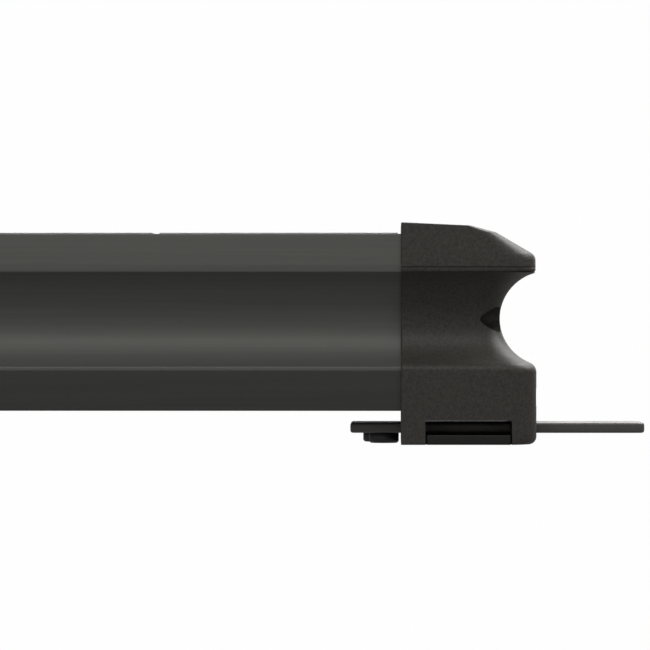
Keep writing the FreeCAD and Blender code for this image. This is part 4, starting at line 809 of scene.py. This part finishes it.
def plug_shape(node, name, pins, pin_ring, pin_radius):
    """Panel socket with a rounded flange, a plain bore and contacts on its floor."""
    low, high = box_mm(node)
    middle, z = (low.x + high.x) / 2, (low.z + high.z) / 2
    flange = (high.x - low.x) / 2
    bore = flange - PLUG_RIM
    tall = high.y - low.y
    body = turned("plug_body", [
        (bore + PLUG_WALL, 0), (bore + PLUG_WALL, tall - PLUG_FLANGE), (flange, tall - PLUG_FLANGE),
        (flange, tall - 0.5), (flange - 0.15, tall - 0.15), (flange - 0.5, tall), (bore + 0.4, tall),
        (bore, tall - 0.4), (bore, PLUG_FLOOR)], PLUG, sides=64)
    parts = [body]
    for k in range(pins):
        angle = 2 * math.pi * k / pins
        rings = [(pin_radius, PIN_LOW), (pin_radius, PIN_SHOULDER), (pin_radius * 0.5, PIN_TIP)]
        pin = turned("pin", rings, BRASS, sides=16)
        parts.append(moved(pin, at(pin_ring * math.cos(angle), pin_ring * math.sin(angle), 0)))
    return moved(joined(name, parts), at(middle, low.y, z) @ FACE_BACK)


def button_shape(k):
    """Push button with a slightly domed face, on its retaining flange."""
    low, high = box_mm(f"menu_button_{k}")
    middle, z = (low.x + high.x) / 2, (low.z + high.z) / 2
    tall = high.y - low.y
    flange = (high.x - low.x) / 2
    rings = [(flange, 0), (flange, BUTTON_FLANGE), (BUTTON_RADIUS, BUTTON_FLANGE),
             (BUTTON_RADIUS, tall - 0.7), (2.85, tall - 0.35), (2.4, tall - 0.1), (1.4, tall - 0.02),
             (0.6, tall)]
    made = turned(f"button_shape_{k}", rings, BUTTON)
    return moved(made, at(middle, low.y, z) @ FACE_BACK)


def display_shape():
    """Dark glossy cover of the menu display."""
    low, high = DISPLAY_LOW, DISPLAY_HIGH
    middle, z = (low.x + high.x) / 2, (low.z + high.z) / 2
    wide, tall = (high.x - low.x) / 2, (high.z - low.z) / 2
    outline = rectangle(-wide, -tall, wide, tall, DISPLAY_CORNER)
    made = plate("display_shape", [outline], 0, high.y - low.y, DISPLAY_EDGE, DISPLAY)
    return moved(made, at(middle, low.y, z) @ FACE_BACK)


def panel_screw_set():
    source = socket_screw("screw_source", SMALL_HEAD, *PANEL_SCREW)
    low, high = box_mm("panel_screws")
    seat, z = high.y - PANEL_SCREW[0], (low.z + high.z) / 2
    spots = [(end * (high.x - SMALL_HEAD), seat, z, -90, 0, 0) for end in (-1, 1)]
    return repeated("panel_screw_set", source, spots, SCREW)


# ---------------------------------------------------------------- studio, its lights placed in metres
FLOOR_HALF, FLOOR_LOW, FLOOR_TOP = 6000, -10.3, -0.3
AIR_DIM, FLOOR_DIM = 0.09, 0.3


def area_light(name, place, aim, wide, tall, watts):
    data = bpy.data.lights.new(name, "AREA")
    data.shape = "RECTANGLE"
    data.size, data.size_y = wide, tall
    data.energy = watts
    light = new_object(name, data)
    light.location = place
    light.visible_camera = False
    light.rotation_euler = (Vector(aim) - Vector(place)).to_track_quat("-Z", "Y").to_euler()


def seen_white(tree, dim):
    """White where the camera looks at it directly, dim for everything it lights."""
    return add(tree, "ShaderNodeMix", {0: add(tree, "ShaderNodeLightPath").outputs["Is Camera Ray"],
                                       2: dim, 3: 1.0})


def studio():
    world = bpy.data.worlds.new("studio")
    SCENE.world = world
    world.use_nodes = True
    tree = world.node_tree
    tree.nodes.clear()
    level = seen_white(tree, AIR_DIM)
    air = add(tree, "ShaderNodeBackground", {"Color": linear("#fefefe"), "Strength": level.outputs[0]})
    add(tree, "ShaderNodeOutputWorld", {"Surface": air.outputs[0]})
    paint = bpy.data.materials.new("studio_floor")
    paint.use_nodes = True
    tree = paint.node_tree
    tree.nodes.clear()
    level = seen_white(tree, FLOOR_DIM)
    glow = add(tree, "ShaderNodeEmission", {"Color": linear("#fefefe"), "Strength": level.outputs[0]})
    add(tree, "ShaderNodeOutputMaterial", {"Surface": glow.outputs[0]})
    outline = rectangle(-FLOOR_HALF, -FLOOR_HALF, FLOOR_HALF, FLOOR_HALF, 10)
    floor = plate("studio_floor", [outline], FLOOR_LOW, FLOOR_TOP, 0.1, paint)
    middle = CAP_LOW.x * MM
    area_light("overhead_strip", (middle + 0.4, 0.8, 1.15), (middle, 0.0, 0.08), 2.4, 0.9, 45)
    area_light("front_softbox", (middle * 0.8, -1.1, 1.5), (middle * 0.8, 0.0, 0.06), 2.2, 0.7, 15)
    area_light("low_front", (middle * 0.8, -2.0, 0.14), (middle * 0.8, 0.0, 0.05), 2.4, 0.3, 2)
    area_light("rear_glow", (middle * 0.8, 2.2, 0.7), (middle * 0.8, 0.0, 0.1), 3.4, 1.3, 20)
    area_light("left_fill", (middle - 1.5, -0.9, 0.35), (middle, 0.0, 0.06), 0.7, 0.5, 2)
    area_light("right_fill", (middle + 1.5, -1.0, 0.45), (middle, 0.0, 0.06), 0.7, 0.6, 2)


# ---------------------------------------------------------------- the assembly
def both_ends(piece, stem, body=None):
    """Places a right-hand piece and its mirror image."""
    left = mirror_of(piece, piece.name.replace("_right", "_left"))
    for end, made in (("right", piece), ("left", left)):
        settle(made, [f"{stem}_{end}"], f"{body}_{end}" if body else "batten")


settle(housing_shell(), ["upper_housing"])
settle(base_tray(), ["base_profile"])
both_ends(cap_shell(), "end_cap")
both_ends(keeper_shape(), "keeper_plate")
settle(cap_screw_set(), ["cap_screws"])
settle(keeper_screw_set(), ["keeper_screws"])
both_ends(bar_shape(), "bracket_bar", "bracket")
both_ends(feet_shape(), "bracket_feet", "bracket")
both_ends(foot_screw_set(), "foot_screws", "bracket")
for k in range(SEGMENTS):
    settle(window_shape(k), [f"window_{k + 1}"])
    settle(tray_shape(k), [f"lens_tray_{k + 1}"])
    settle(board_shape(k), [f"led_board_{k + 1}"])
settle(lens_set(), ["lenses"])
settle(emitter_set(), ["led_emitters"])
settle(smoothed("rear_panel", "panel_shape", PANEL), ["rear_panel"])
for stem, pins in (("power", POWER_PINS), ("data", DATA_PINS)):
    for way in ("inlet", "outlet"):
        node = f"{stem}_{way}"
        settle(plug_shape(node, f"{node}_socket", *pins), [node])
settle(display_shape(), ["display_window"])
for k in range(1, 5):
    settle(button_shape(k), [f"menu_button_{k}"], f"button_{k}")
settle(panel_screw_set(), ["panel_screws"])

CARRIED = {
    "end_gasket_right": GASKET, "end_gasket_left": GASKET, "control_board": GREEN, "power_supply": CASE,
    "driver_board": GREEN, "driver_standoffs": STEEL, "driver_screws": SCREW, "wiring_loom": LOOM,
}
for node, finish in CARRIED.items():
    NODES[node].data.materials.clear()
    NODES[node].data.materials.append(finish)

studio()
